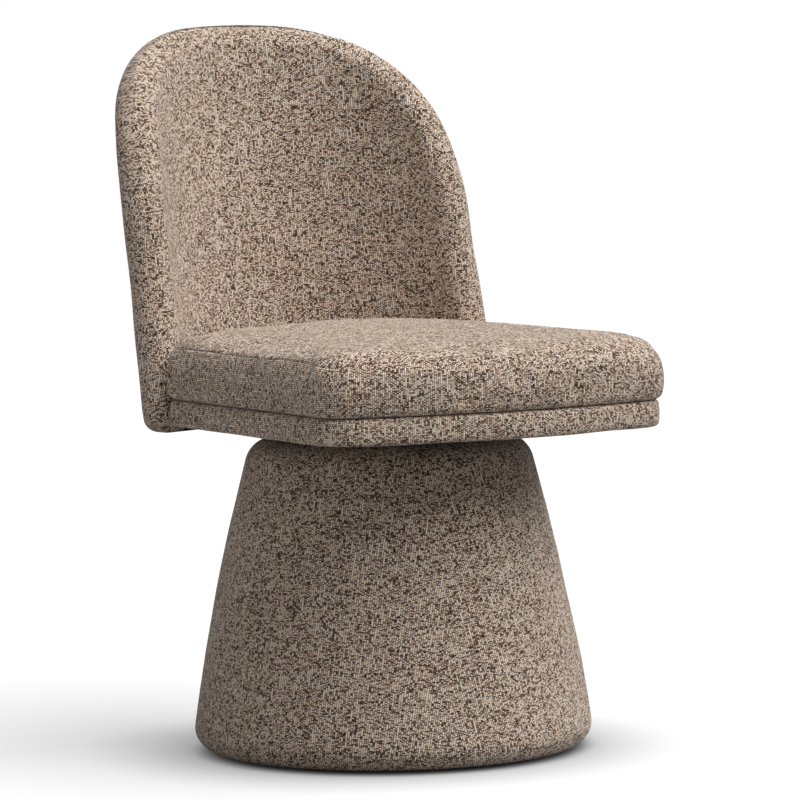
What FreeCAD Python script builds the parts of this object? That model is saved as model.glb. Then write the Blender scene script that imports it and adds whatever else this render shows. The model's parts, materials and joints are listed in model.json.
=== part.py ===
import FreeCAD, Part
import math
import os
import re
import Sketcher

# Swivel dining chair, in millimetres. The origin is on the floor under the swivel's axis,
# +Z is up, the sitter faces -Y and +X is on the right of someone who looks at the front.

driving_sizes = [
    ("total_height", 813, "floor to the top of the back"),
    ("seat_underside", 365.5, "floor to the underside of the seat rail"),
    ("swivel_gap", 14, "open gap between the base and the seat rail"),
    ("fabric", 2, "upholstery fabric with its lining"),
    ("dust_cloth", 0.8, "black cloth under the base and the seat"),
    ("base_foot_radius", 227.5, "base side carried down to the floor"),
    ("base_top_radius", 155.5, "base side carried up to the base's top"),
    ("base_bulge", 5.8, "how far the padded side swells past a straight cone"),
    ("base_foot_rounding", 21, "rounding at the foot"),
    ("base_shoulder_rounding", 34.5, "rounding at the shoulder"),
    ("base_foam_depth", 8, "least foam on the base"),
    ("wrap_board", 3, "thin bent board of the cone"),
    ("bottom_board", 15, "plywood at the foot"),
    ("bottom_board_bore", 100, "radius of the bottom board's opening"),
    ("top_board", 18, "plywood that carries the swivel"),
    ("upright_thickness", 18, "plywood uprights"),
    ("upright_inner_radius", 62, "inner edge of the uprights"),
    ("cover_top_band", 44.5, "base cover over the top, in from the shoulder's radius"),
    ("cover_turn_under", 67.5, "base cover under the foot, in from the foot's radius"),
    ("glide_radius", 12.5, "low nylon glide"),
    ("glide_height", 3, "lifts the cover off the floor"),
    ("glide_edge_distance", 44.5, "glides, in from the foot's radius"),
    ("glide_screw_length", 13, "into the bottom board"),
    ("screw_radius", 2.2, "wood screw"),
    ("screw_head_radius", 4.4, "countersunk head"),
    ("screw_head_height", 2.2, "countersunk head"),
    ("screw_length", 45, "upright screws"),
    ("screw_inner_circle", 76, "inner screws of the uprights"),
    ("screw_top_edge_distance", 40.5, "outer screws at the top, in from the shoulder's radius"),
    ("screw_foot_edge_distance", 55.5, "outer screws at the foot, in from the foot's radius"),
    ("bolt_radius", 3, "M6 bolt"),
    ("bolt_head_radius", 5.5, "button head"),
    ("bolt_head_height", 3.3, "button head"),
    ("tee_nut_radius", 9.5, "flange, hammered in flush"),
    ("tee_nut_flange", 1.2, "flange"),
    ("tee_nut_barrel", 4.2, "radius of the barrel"),
    ("tee_nut_length", 10, "flange and barrel"),
    ("plate_side", 150, "square swivel plates"),
    ("plate_corner_reach", 103, "radius that trims the plates' corners"),
    ("plate_thickness", 2.5, "pressed steel"),
    ("plate_bolt_offset", 60, "bolts from the plates' centre lines"),
    ("ball_circle", 46, "radius of the ball track"),
    ("ball_radius", 4.75, "steel balls"),
    ("track_clearance", 0.3, "ball to track and ball to cage"),
    ("track_width", 16, "raised ring round each ball track"),
    ("track_gap", 4, "between the two raised rings"),
    ("cage_width", 13, "flat ring that spaces the balls"),
    ("cage_thickness", 1.5, "flat ring that spaces the balls"),
    ("rivet_radius", 14, "hollow centre rivet"),
    ("rivet_bore", 12, "radius inside the rivet"),
    ("rivet_flange", 18, "radius of the rolled flanges"),
    ("rivet_flange_thickness", 1.5, "rolled flanges"),
    ("rivet_running_fit", 0.06, "rivet to the upper plate"),
    ("board_centre_bore", 22, "radius of the boards' bores over the rivet"),
    ("seat_half_width", 214.5, "seat rail"),
    ("seat_front", 280, "axis to the middle of the front"),
    ("seat_bow", 34, "front bow over the whole width"),
    ("seat_corner_radius", 26, "front corners in plan"),
    ("seat_side_end", 150, "where the sides end inside the back's wings"),
    ("rail_height", 30, "seat rail"),
    ("rail_rounding", 6, "rail edges"),
    ("rail_foam_depth", 6, "foam round the seat board's edge"),
    ("rail_turn_under", 18, "rail cover under the seat"),
    ("seat_board", 18, "plywood seat board"),
    ("cushion_height", 78, "seat rail to the top of the cushion"),
    ("cushion_overhang", 3.5, "cushion past the rail"),
    ("cushion_top_rounding", 20, "top edge"),
    ("cushion_foot_rounding", 9, "bottom edge, which leaves the dark groove"),
    ("back_inner_radius", 202.5, "inside of the wrapped back"),
    ("back_inner_depth", 255, "axis to the inside of the back, at the rail's top"),
    ("back_thickness", 49.5, "finished back"),
    ("back_recline", 11, "degrees"),
    ("back_foot", 357.5, "floor to the lower edge"),
    ("back_foot_rounding", 12, "lower edge"),
    ("back_foot_reach", 281.5, "half width round the curve at the lower edge"),
    ("back_side_reach", 268, "half width round the curve where the arch starts"),
    ("back_arch_start", 545, "floor to the start of the arch"),
    ("back_arch_power", 2.6, "fullness of the arch, 2 is an ellipse"),
    ("back_front_foam_depth", 22, "foam in front of the shell"),
    ("back_shell", 12, "moulded plywood"),
    ("back_shell_margin", 8, "foam and fabric round the shell's rim"),
    ("seating_gap", 0.1, "steel and plywood edges to the shell's face"),
    ("tongue_half_angle", 50, "degrees, the board's tongue that meets the shell"),
    ("tongue_inner_radius", 170, "where the tongue starts, inside the board"),
    ("bracket_angle", 22, "degrees each side of the middle"),
    ("bracket_width", 36, "steel strip"),
    ("bracket_thickness", 4, "steel strip"),
    ("bracket_seat_leg", 96, "leg along the seat board"),
    ("bracket_rise", 118, "leg up the shell"),
    ("bracket_seat_bolt_pitch", 50, "between the two bolts of the lower leg"),
    ("bracket_back_bolt_pitch", 46, "between the two bolts of the upper leg"),
    ("bracket_bolt_edge", 22, "first bolt from the bracket's end"),
    ("edge_bolt_angle", 12, "degrees, inner pair of bolts into the tongue"),
    ("edge_bolt_spread", 24, "degrees from the inner to the outer pair"),
    ("edge_bolt_grip", 46, "shell's inner face to the barrel nut"),
    ("barrel_nut_radius", 5, "barrel nut"),
    ("barrel_nut_length", 14, "barrel nut"),
]

upright_count = 6
glide_count = 6
ball_count = 12

doc = FreeCAD.newDocument("SwivelDiningChair")
sizes = doc.addObject("Spreadsheet::Sheet", "Sizes")
for row, (alias, value, meaning) in enumerate(driving_sizes, start=1):
    sizes.set(f"A{row}", alias.replace("_", " "))
    sizes.set(f"B{row}", str(value))
    sizes.set(f"C{row}", meaning)
    sizes.setAlias(f"B{row}", alias)
doc.recompute()

aliases = {alias for alias, value, meaning in driving_sizes}
pieces = {}


def full(text):
    """Give every size in an expression its sheet."""
    return re.sub(r"[a-z_]+", lambda word: "Sizes." + word.group() if word.group() in aliases else word.group(), text)


def number(text):
    return float(sizes.evalExpression(full(text)))


def bind(item, settings):
    for path, text in settings.items():
        item.setExpression(path, full(text))


def keep(name, item):
    """Mark an object as a finished sub-part."""
    item.Label = name
    pieces[name] = item
    return item


# Plain solids

def cylinder(name, radius, height, z, x="0", y="0"):
    item = doc.addObject("Part::Cylinder", name)
    bind(item, {"Radius": radius, "Height": height})
    bind(item, {"Placement.Base.x": x, "Placement.Base.y": y, "Placement.Base.z": z})
    return item


def cone(name, lower, upper, height, z):
    item = doc.addObject("Part::Cone", name)
    bind(item, {"Radius1": lower, "Radius2": upper, "Height": height, "Placement.Base.z": z})
    return item


def cut(name, base, tool):
    item = doc.addObject("Part::Cut", name)
    item.Base = base
    item.Tool = tool
    return item


def common(name, base, tool):
    item = doc.addObject("Part::Common", name)
    item.Base = base
    item.Tool = tool
    return item


def fuse(name, members):
    item = doc.addObject("Part::MultiFuse", name)
    item.Shapes = members
    return item


def cut_all(name, base, tools):
    for index, tool in enumerate(tools, start=1):
        base = cut(f"{name}_{index}", base, tool)
    return base


def tube(name, outer, inner, height, z):
    return cut(name, cylinder(name + "_outer", outer, height, z), cylinder(name + "_inner", inner, height, z))


def group(name, master, spots):
    """Identical pieces that share one node."""
    master.recompute(True)
    item = doc.addObject("Part::Feature", name)
    copies = []
    for spot in spots:
        copy = master.Shape.copy()
        copy.Placement = spot.multiply(copy.Placement)
        copies.append(copy)
    item.Shape = Part.makeCompound(copies)
    return item


def turn(degrees):
    return FreeCAD.Placement(FreeCAD.Vector(), FreeCAD.Rotation(FreeCAD.Vector(0, 0, 1), degrees))


def shift(x, y, z):
    return FreeCAD.Placement(FreeCAD.Vector(x, y, z), FreeCAD.Rotation())


def ring_of(count, radius=0.0, first=0.0):
    return [turn(first + 360.0 * step / count).multiply(shift(radius, 0, 0)) for step in range(count)]


# Sketched bodies

def start_sketch(name, role):
    body = doc.addObject("PartDesign::Body", name)
    sketch = body.newObject("Sketcher::SketchObject", name + "_sketch")
    plane = next(item for item in body.Origin.OriginFeatures if item.Role == role)
    sketch.AttachmentSupport = [(plane, "")]
    sketch.MapMode = "FlatFace"
    return body, sketch


def pin(sketch, geometry, point, x, y):
    """Place a point of a sketch at sizes from the sheet."""
    for kind, text in (("DistanceX", x), ("DistanceY", y)):
        index = sketch.addConstraint(Sketcher.Constraint(kind, -1, 1, geometry, point, number(text)))
        sketch.setExpression(f"Constraints[{index}]", full(text))


def bind_radius(sketch, geometry, text):
    index = sketch.addConstraint(Sketcher.Constraint("Radius", geometry, number(text)))
    sketch.setExpression(f"Constraints[{index}]", full(text))


def flat(x, y):
    return FreeCAD.Vector(x, y, 0)


def edges_at(shape, height):
    """Names of the edges that lie flat at a height and don't touch the axis."""
    names = []
    for index, edge in enumerate(shape.Edges, start=1):
        box = edge.BoundBox
        if abs(box.ZMin - height) < 1e-4 and abs(box.ZMax - height) < 1e-4:
            names.append(f"Edge{index}")
    return names


def round_edges(body, feature, height, radius):
    feature.recompute(True)
    fillet = body.newObject("PartDesign::Fillet", f"{body.Name}_round_{len(body.Group)}")
    fillet.Base = (feature, edges_at(feature.Shape, number(height)))
    bind(fillet, {"Radius": radius})
    return fillet


base_height = "(seat_underside - swivel_gap)"
glide_circle = "(base_foot_radius - glide_edge_distance)"
screw_top_circle = "(base_top_radius - screw_top_edge_distance)"
screw_foot_circle = "(base_foot_radius - screw_foot_edge_distance)"
cover_foot_turn = "(base_foot_radius - cover_turn_under)"
cover_top_opening = "(base_top_radius - cover_top_band)"
base_lean = f"((base_foot_radius - base_top_radius) / {base_height})"
side_length = f"sqrt(pow(base_foot_radius - base_top_radius; 2) + pow({base_height}; 2))"
bulge_radius = f"(pow({side_length}; 2) / (8 * base_bulge) + base_bulge / 2)"


def cone_radius(z, inset):
    """Radius of the straight side at a height, set in by a depth of padding."""
    return f"(base_foot_radius - {base_lean} * ({z}) - ({inset}) * sqrt(1 + pow({base_lean}; 2)))"


def swollen_radius(z, inset):
    share = f"(({z}) / {base_height})"
    return f"({cone_radius(z, inset)} + 4 * base_bulge * {share} * (1 - {share}))"


def base_form(name, inset):
    """The base's outside, set in by a depth of fabric: a turned solid with a swollen side."""
    body, sketch = start_sketch(name, "XZ_Plane")
    low = f"(glide_height + {inset})"
    high = f"({base_height} - {inset})"
    corners = [("0", low), (swollen_radius(low, inset), low), (swollen_radius(high, inset), high), ("0", high)]
    points = [flat(number(x), number(z)) for x, z in corners]
    middle = number(f"({low} + {high}) / 2")
    crown = flat(number(swollen_radius(str(middle), inset)), middle)
    sketch.addGeometry(Part.LineSegment(points[0], points[1]))
    sketch.addGeometry(Part.Arc(points[1], crown, points[2]))
    sketch.addGeometry(Part.LineSegment(points[2], points[3]))
    sketch.addGeometry(Part.LineSegment(points[3], points[0]))
    for first, second in ((0, 1), (1, 2), (2, 3), (3, 0)):
        sketch.addConstraint(Sketcher.Constraint("Coincident", first, 2, second, 1))
    pin(sketch, 0, 1, *corners[0])
    pin(sketch, 0, 2, *corners[1])
    pin(sketch, 2, 1, *corners[2])
    pin(sketch, 2, 2, *corners[3])
    bind_radius(sketch, 1, f"{bulge_radius} - {inset}")
    turned = body.newObject("PartDesign::Revolution", name + "_turned")
    turned.Profile = sketch
    turned.ReferenceAxis = (sketch, ["V_Axis"])
    turned.Angle = 360.0
    foot = round_edges(body, turned, low, f"base_foot_rounding - {inset}")
    round_edges(body, foot, high, f"base_shoulder_rounding - {inset}")
    return body


front_radius = "(pow(seat_half_width; 2) / (2 * seat_bow) + seat_bow / 2)"
front_centre = f"({front_radius} - seat_front)"
corner_x = "(seat_half_width - seat_corner_radius)"
corner_y = f"({front_centre} - sqrt(pow({front_radius} - seat_corner_radius; 2) - pow({corner_x}; 2)))"
rear_reach = "(back_inner_depth + back_thickness / 2)"
rear_rise = f"({rear_reach} - seat_side_end)"
rear_centre = f"({rear_reach} - (pow(seat_half_width; 2) / (2 * {rear_rise}) + {rear_rise} / 2))"


def seat_form(name, inset, z, height, foot_rounding=None, top_rounding=None):
    """The seat's plan, set in, from z upwards: bowed front, round corners, straight sides, arched rear."""
    body, sketch = start_sketch(name, "XY_Plane")
    sketch.AttachmentOffset = FreeCAD.Placement(FreeCAD.Vector(0, 0, number(z)), FreeCAD.Rotation())
    sketch.setExpression("AttachmentOffset.Base.z", full(z))
    side = number(f"seat_half_width - ({inset})")
    end = number("seat_side_end")
    centre = flat(number(corner_x), number(corner_y))
    front_middle = flat(0, number(front_centre))
    front_size = number(f"{front_radius} - ({inset})")
    corner_size = number(f"seat_corner_radius - ({inset})")
    reach = (centre - front_middle).normalize() * front_size
    meet = front_middle + reach
    low_angle = math.atan2(reach.y, reach.x)
    up = FreeCAD.Vector(0, 0, 1)
    rear_middle = flat(0, number(rear_centre))
    rear_size = math.hypot(side, end - rear_middle.y)
    rear_angle = math.atan2(end - rear_middle.y, side)
    left_centre = flat(-centre.x, centre.y)

    def arc(middle, radius, start, stop):
        return sketch.addGeometry(Part.ArcOfCircle(Part.Circle(middle, up, radius), start, stop))

    front = arc(front_middle, front_size, -math.pi - low_angle, low_angle)
    right_corner = arc(centre, corner_size, low_angle, 0)
    right = sketch.addGeometry(Part.LineSegment(flat(side, centre.y), flat(side, end)))
    rear = arc(rear_middle, rear_size, rear_angle, math.pi - rear_angle)
    left = sketch.addGeometry(Part.LineSegment(flat(-side, end), flat(-side, centre.y)))
    left_corner = arc(left_centre, corner_size, math.pi, math.pi - low_angle)
    for first, second in ((front, right_corner), (right_corner, right), (left, left_corner), (left_corner, front)):
        sketch.addConstraint(Sketcher.Constraint("Tangent", first, 2, second, 1))
    for first, second in ((right, rear), (rear, left)):
        sketch.addConstraint(Sketcher.Constraint("Coincident", first, 2, second, 1))
    pin(sketch, front, 3, "0", front_centre)
    bind_radius(sketch, front, f"{front_radius} - ({inset})")
    pin(sketch, right_corner, 3, corner_x, corner_y)
    pin(sketch, left_corner, 3, f"-{corner_x}", corner_y)
    pin(sketch, right, 2, f"seat_half_width - ({inset})", "seat_side_end")
    pin(sketch, left, 1, f"({inset}) - seat_half_width", "seat_side_end")
    rise = sketch.addConstraint(Sketcher.Constraint("DistanceY", -1, 1, rear, 3, number(rear_centre)))
    sketch.setExpression(f"Constraints[{rise}]", full(rear_centre))
    pad = body.newObject("PartDesign::Pad", name + "_pad")
    pad.Profile = sketch
    bind(pad, {"Length": height})
    feature = pad
    if foot_rounding:
        feature = round_edges(body, feature, z, foot_rounding)
    if top_rounding:
        feature = round_edges(body, feature, f"{z} + ({height})", top_rounding)
    return body


# Base: boards, uprights, screws, padding and cover

board_foot = "(glide_height + fabric)"
board_foot_top = f"({board_foot} + bottom_board)"
swivel_floor = f"({base_height} - fabric)"
top_board_foot = f"({swivel_floor} - top_board)"
padding = "(fabric + base_foam_depth)"
wrap_inside = f"({padding} + wrap_board)"
upright_height = f"({top_board_foot} - {board_foot_top})"


def make_upright(name):
    """A plywood upright: a four-sided plate whose outer edge follows the bent board."""
    body, sketch = start_sketch(name, "XZ_Plane")
    gap = f"({wrap_inside} + track_clearance)"
    corners = [
        ("upright_inner_radius", board_foot_top),
        (cone_radius(board_foot_top, gap), board_foot_top),
        (cone_radius(top_board_foot, gap), top_board_foot),
        ("upright_inner_radius", top_board_foot),
    ]
    points = [flat(number(x), number(z)) for x, z in corners]
    for index in range(4):
        sketch.addGeometry(Part.LineSegment(points[index], points[(index + 1) % 4]))
    for index in range(4):
        sketch.addConstraint(Sketcher.Constraint("Coincident", index, 2, (index + 1) % 4, 1))
        pin(sketch, index, 1, *corners[index])
    pad = body.newObject("PartDesign::Pad", name + "_pad")
    pad.Profile = sketch
    bind(pad, {"Length": "upright_thickness"})
    pad.SideType = 2
    return body


def make_screw(name, length):
    """A countersunk screw that points down, with the top of its head at zero."""
    head = cone(name + "_head", "screw_radius", "screw_head_radius", "screw_head_height", "-screw_head_height")
    shank = cylinder(name + "_shank", "screw_radius", f"{length} - screw_head_height", f"-({length})")
    return fuse(name, [head, shank])


def make_base():
    top_screw = make_screw("upright_screw", "screw_length")
    flip = FreeCAD.Placement(FreeCAD.Vector(), FreeCAD.Rotation(FreeCAD.Vector(1, 0, 0), 180))
    spots = []
    for circle in ("screw_inner_circle", screw_top_circle):
        for spot in ring_of(upright_count, number(circle)):
            spots.append(shift(0, 0, number(swivel_floor)).multiply(spot))
    for circle in ("bottom_board_bore + upright_thickness", screw_foot_circle):
        for spot in ring_of(upright_count, number(circle)):
            spots.append(shift(0, 0, number(board_foot)).multiply(spot).multiply(flip))
    upright_screws = keep("upright_screws", group("upright_screws", top_screw, spots))

    glide_screw = make_screw("glide_screw", "glide_screw_length + glide_height")
    glide_spots = ring_of(glide_count, number(glide_circle), 180.0 / glide_count)
    head_level = number("glide_height - screw_head_height")
    screw_spots = [shift(0, 0, head_level).multiply(spot).multiply(flip) for spot in glide_spots]
    glide_screws = keep("glide_screws", group("glide_screws", glide_screw, screw_spots))
    glide_disc = cylinder("glide_disc", "glide_radius", "glide_height", "0")
    glide_well = cylinder("glide_well", "screw_head_radius", "glide_height - screw_head_height", "0")
    glide_blanks = group("glide_blanks", cut("glide_blank", glide_disc, glide_well), glide_spots)
    keep("glides", cut("glides_cut", glide_blanks, glide_screws))

    bottom = cone(
        "bottom_board_blank",
        "base_foot_radius - 1.5 * base_foot_rounding",
        cone_radius(board_foot_top, padding),
        "bottom_board",
        board_foot,
    )
    bottom_bore = cylinder("bottom_board_hole", "bottom_board_bore", "bottom_board", board_foot)
    bottom_tools = [bottom_bore, upright_screws, glide_screws]
    keep("base_bottom_board", cut_all("bottom_board_cut", bottom, bottom_tools))

    uprights = []
    for index, spot in enumerate(ring_of(upright_count), start=1):
        blank = make_upright(f"upright_{index}")
        blank.Placement = spot
        uprights.append(keep(f"base_upright_{index}", cut(f"upright_{index}_cut", blank, upright_screws)))

    outer = cone(
        "wrap_outer",
        cone_radius(board_foot_top, padding),
        cone_radius(top_board_foot, padding),
        upright_height,
        board_foot_top,
    )
    inner = cone(
        "wrap_inner",
        cone_radius(board_foot_top, wrap_inside),
        cone_radius(top_board_foot, wrap_inside),
        upright_height,
        board_foot_top,
    )
    keep("base_wrap_board", cut("wrap_board", outer, inner))

    top_blank = cone(
        "top_board_blank",
        cone_radius(top_board_foot, padding),
        "base_top_radius - base_shoulder_rounding",
        "top_board",
        top_board_foot,
    )
    top_bore = cylinder("top_board_hole", "board_centre_bore", "top_board", top_board_foot)
    top_tools = [top_bore, upright_screws, fuse("base_bolt_rooms", [lower_bolts, base_nut_rooms])]
    keep("base_top_board", cut_all("top_board_cut", top_blank, top_tools))

    outside = base_form("base_outside", "0")
    lining = base_form("base_lining", "fabric")
    foam_tools = [bottom, outer, top_blank]
    keep("base_foam", cut_all("base_foam_cut", lining, foam_tools))
    cover_hole = cylinder("cover_hole", cover_top_opening, "2 * fabric", f"{swivel_floor} - fabric / 2")
    cover_turn = cylinder("cover_turn", cover_foot_turn, "2 * fabric", "glide_height - fabric / 2")
    cover_tools = [lining, cover_hole, cover_turn, glide_screws]
    keep("base_cover", cut_all("base_cover_cut", outside, cover_tools))
    dust_foot = f"{board_foot} - dust_cloth"
    keep("base_dust_cover", cylinder("base_dust_disc", cover_foot_turn, "dust_cloth", dust_foot))


# Swivel: two pressed plates, balls, cage, centre rivet, bolts and tee nuts

seat_board_foot = "(seat_underside + fabric)"
seat_board_top = f"({seat_board_foot} + seat_board)"
swivel_middle = f"(({swivel_floor} + {seat_board_foot}) / 2)"
track_inner = "(ball_circle - track_width / 2)"
track_outer = "(ball_circle + track_width / 2)"


def make_bolt(name, length):
    """A button-head bolt that points down, with the underside of its head at zero."""
    head = cylinder(name + "_head", "bolt_head_radius", "bolt_head_height", "0")
    shank = cylinder(name + "_shank", "bolt_radius", length, f"-({length})")
    return fuse(name, [head, shank])


def make_tee_nut(name):
    """A tee nut that points up, with its flange's outer face at zero, and the room that it needs."""
    flange = cylinder(name + "_flange", "tee_nut_radius", "tee_nut_flange", "0")
    barrel = cylinder(name + "_barrel", "tee_nut_barrel", "tee_nut_length", "0")
    thread = cylinder(name + "_thread", "bolt_radius", "tee_nut_length", "0")
    room = fuse(name + "_body", [flange, barrel])
    return cut(name, room, thread), room


def plate_spots(z, upside_down=False):
    offset = number("plate_bolt_offset")
    spots = []
    for x in (-offset, offset):
        for y in (-offset, offset):
            spot = shift(x, y, number(z))
            if upside_down:
                spot = spot.multiply(FreeCAD.Placement(FreeCAD.Vector(), FreeCAD.Rotation(FreeCAD.Vector(1, 0, 0), 180)))
            spots.append(spot)
    return spots


def make_plate(name, z, track_z, track_height, bore, bolts):
    square = doc.addObject("Part::Box", name + "_square")
    bind(square, {"Length": "plate_side", "Width": "plate_side", "Height": "plate_thickness"})
    bind(square, {"Placement.Base.x": "-plate_side / 2", "Placement.Base.y": "-plate_side / 2", "Placement.Base.z": z})
    trim = cylinder(name + "_trim", "plate_corner_reach", "plate_thickness", z)
    track = tube(name + "_track", track_outer, track_inner, track_height, track_z)
    solid = fuse(name + "_solid", [common(name + "_trimmed", square, trim), track])
    groove = doc.addObject("Part::Torus", name + "_groove")
    bind(groove, {"Radius1": "ball_circle", "Radius2": "ball_radius + track_clearance", "Placement.Base.z": swivel_middle})
    hole = cylinder(name + "_bore", bore, "plate_thickness", z)
    return cut_all(name, solid, [groove, hole, bolts])


bolt_length = make_bolt("plate_bolt", "top_board - tee_nut_flange + plate_thickness")
tee_nut, tee_nut_room = make_tee_nut("tee_nut")
lower_bolts = keep("swivel_lower_bolts", group(
    "swivel_lower_bolts", bolt_length, plate_spots(f"{swivel_floor} + plate_thickness")))
upper_bolts = keep("swivel_upper_bolts", group(
    "swivel_upper_bolts", bolt_length, plate_spots(f"{seat_board_foot} - plate_thickness", upside_down=True)))
base_nut_spots = plate_spots(top_board_foot)
seat_nut_spots = plate_spots(seat_board_top, upside_down=True)
base_tee_nuts = keep("base_tee_nuts", group("base_tee_nuts", tee_nut, base_nut_spots))
seat_tee_nuts = keep("seat_tee_nuts", group("seat_tee_nuts", tee_nut, seat_nut_spots))
base_nut_rooms = group("base_nut_rooms", tee_nut_room, base_nut_spots)
seat_nut_rooms = group("seat_nut_rooms", tee_nut_room, seat_nut_spots)


def make_swivel():
    track_height = f"({swivel_middle} - track_gap / 2 - {swivel_floor})"
    lower_z = swivel_floor
    upper_z = f"({seat_board_foot} - plate_thickness)"
    keep("swivel_lower_plate", make_plate(
        "lower_plate", lower_z, lower_z, track_height, "rivet_radius", lower_bolts))
    keep("swivel_upper_plate", make_plate(
        "upper_plate", upper_z, f"{swivel_middle} + track_gap / 2", track_height,
        "rivet_radius + rivet_running_fit", upper_bolts))

    ball = doc.addObject("Part::Sphere", "ball")
    bind(ball, {"Radius": "ball_radius", "Placement.Base.z": swivel_middle})
    keep("bearing_balls", group("bearing_balls", ball, ring_of(ball_count, number("ball_circle"))))
    cage_z = f"{swivel_middle} - cage_thickness / 2"
    cage = tube("cage", "ball_circle + cage_width / 2", "ball_circle - cage_width / 2", "cage_thickness", cage_z)
    pocket = cylinder("cage_pocket", "ball_radius + track_clearance", "cage_thickness", cage_z)
    pockets = group("cage_pockets", pocket, ring_of(ball_count, number("ball_circle")))
    keep("ball_cage", cut("ball_cage_cut", cage, pockets))

    rivet_foot = f"({swivel_floor} - rivet_flange_thickness)"
    rivet_top = f"({seat_board_foot} + rivet_running_fit + rivet_flange_thickness)"
    stem = cylinder("rivet_stem", "rivet_radius", f"{rivet_top} - {rivet_foot}", rivet_foot)
    foot = cylinder("rivet_foot", "rivet_flange", "rivet_flange_thickness", rivet_foot)
    head = cylinder("rivet_head", "rivet_flange", "rivet_flange_thickness", f"{rivet_top} - rivet_flange_thickness")
    bore = cylinder("rivet_hole", "rivet_bore", f"{rivet_top} - {rivet_foot}", rivet_foot)
    keep("swivel_rivet", cut("rivet", fuse("rivet_body", [stem, foot, head]), bore))


# Back: layers of one reclined, wrapped arch. Every level section has the same centre line,
# which leans back with height, so layers of different radius nest without a gap.

rail_top = number("seat_underside + rail_height")
lean = math.tan(math.radians(number("back_recline")))
inner_radius = number("back_inner_radius")
middle_radius = inner_radius + number("back_thickness") / 2
axis_depth = number("back_inner_depth") - inner_radius
shell_inner = inner_radius + number("fabric + back_front_foam_depth")
shell_outer = shell_inner + number("back_shell")
back_outer = inner_radius + number("back_thickness")


def axis_point(z):
    """The centre of the back's level section at a height."""
    return FreeCAD.Vector(0, axis_depth + (z - rail_top) * lean, z)


def around(z, radius, angle):
    """A point on the curve of the back; angle zero is the middle of the back."""
    return axis_point(z) + FreeCAD.Vector(radius * math.sin(angle), radius * math.cos(angle), 0)


def half_reach(z, margin, top):
    """Half of the back's width round its curve at a height, inside a margin."""
    foot = number("back_foot")
    arch_start = number("back_arch_start")
    foot_reach = number("back_foot_reach")
    side_reach = number("back_side_reach")
    if z <= arch_start:
        share = (z - foot) / (arch_start - foot)
        return foot_reach + (side_reach - foot_reach) * share - margin
    power = number("back_arch_power")
    share = min((z - arch_start) / (top - arch_start), 1.0)
    return (side_reach - margin) * (1 - share ** power) ** (1 / power)


def back_spans(margin, rounding):
    """Heights of the sections, in spans: the rounded foot, the straight sides, then the arch."""
    foot = number("back_foot") + margin
    top = number("total_height") - margin
    arch_start = number("back_arch_start")
    side_start = foot + rounding
    power = number("back_arch_power")
    spans = [[foot + rounding * share for share in (0, 0.15, 0.5, 1)]] if rounding else []
    spans.append([side_start + (arch_start - side_start) * step / 3 for step in range(4)])
    turns = [math.radians(degrees) for degrees in (0, 12, 25, 38, 50, 61, 71, 80, 86)]
    spans.append([arch_start + (top - arch_start) * math.sin(turn) ** (2 / power) for turn in turns])
    return spans


def back_section(z, inner, outer, reach, half, rounded):
    """A level section of the wrapped slab: two long arcs joined by round or straight ends."""
    middle = (inner + outer) / 2
    inner, outer = middle - half, middle + half
    tip = reach / middle_radius
    edge = max(reach - half, 0.2 * reach) / middle_radius if rounded else tip
    corners = [around(z, inner, -edge), around(z, inner, edge), around(z, outer, edge), around(z, outer, -edge)]
    front = Part.Arc(corners[0], around(z, inner, 0), corners[1]).toShape()
    rear = Part.Arc(corners[2], around(z, outer, 0), corners[3]).toShape()
    if rounded:
        right = Part.Arc(corners[1], around(z, middle, tip), corners[2]).toShape()
        left = Part.Arc(corners[3], around(z, middle, -tip), corners[0]).toShape()
    else:
        right = Part.LineSegment(corners[1], corners[2]).toShape()
        left = Part.LineSegment(corners[3], corners[0]).toShape()
    return Part.Wire([front, right, rear, left])


def back_layer(name, margin, inner, outer, rounded):
    """A slab of the back between two radii, with its rim set in by a margin."""
    foot = number("back_foot") + margin
    top = number("total_height") - margin
    half = (outer - inner) / 2
    rounding = number("back_foot_rounding") - margin if rounded else 0

    def section(z):
        reach = half_reach(z, margin, top)
        depth = half
        if rounded and z < foot + rounding:
            drop = rounding - math.sqrt(rounding ** 2 - (foot + rounding - z) ** 2)
            depth = half - drop
            reach -= drop
        if rounded and z > top - half:
            depth = max(half * math.sqrt(1 - ((z - top + half) / half) ** 2), 0.2 * half)
        return back_section(z, inner, outer, reach, depth, rounded)

    blocks = [Part.makeLoft([section(z) for z in span], True, False) for span in back_spans(margin, rounding)]
    item = doc.addObject("Part::Feature", name)
    item.Shape = blocks[0].fuse(blocks[1:])
    return item


def lean_up(name, wire, foot, top):
    """Carry a level outline up along the back's lean."""
    item = doc.addObject("Part::Feature", name)
    item.Shape = Part.Face(wire).extrude(axis_point(top) - axis_point(foot))
    return item


def leaning_disc(name, radius, foot, top):
    """A leaning cylinder round the back's centre line."""
    circle = Part.Circle(axis_point(foot), FreeCAD.Vector(0, 0, 1), radius)
    return lean_up(name, Part.Wire(circle.toShape()), foot, top)


def leaning_sector(name, inner, outer, middle_angle, half_angle, foot, top):
    """A leaning piece of a ring round the back's centre line, angles in radians."""
    first, last = middle_angle - half_angle, middle_angle + half_angle
    near = [around(foot, inner, angle) for angle in (first, middle_angle, last)]
    far = [around(foot, outer, angle) for angle in (first, middle_angle, last)]
    wire = Part.Wire([
        Part.Arc(*near).toShape(),
        Part.LineSegment(near[2], far[2]).toShape(),
        Part.Arc(far[2], far[1], far[0]).toShape(),
        Part.LineSegment(far[0], near[0]).toShape(),
    ])
    return lean_up(name, wire, foot, top)


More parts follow.
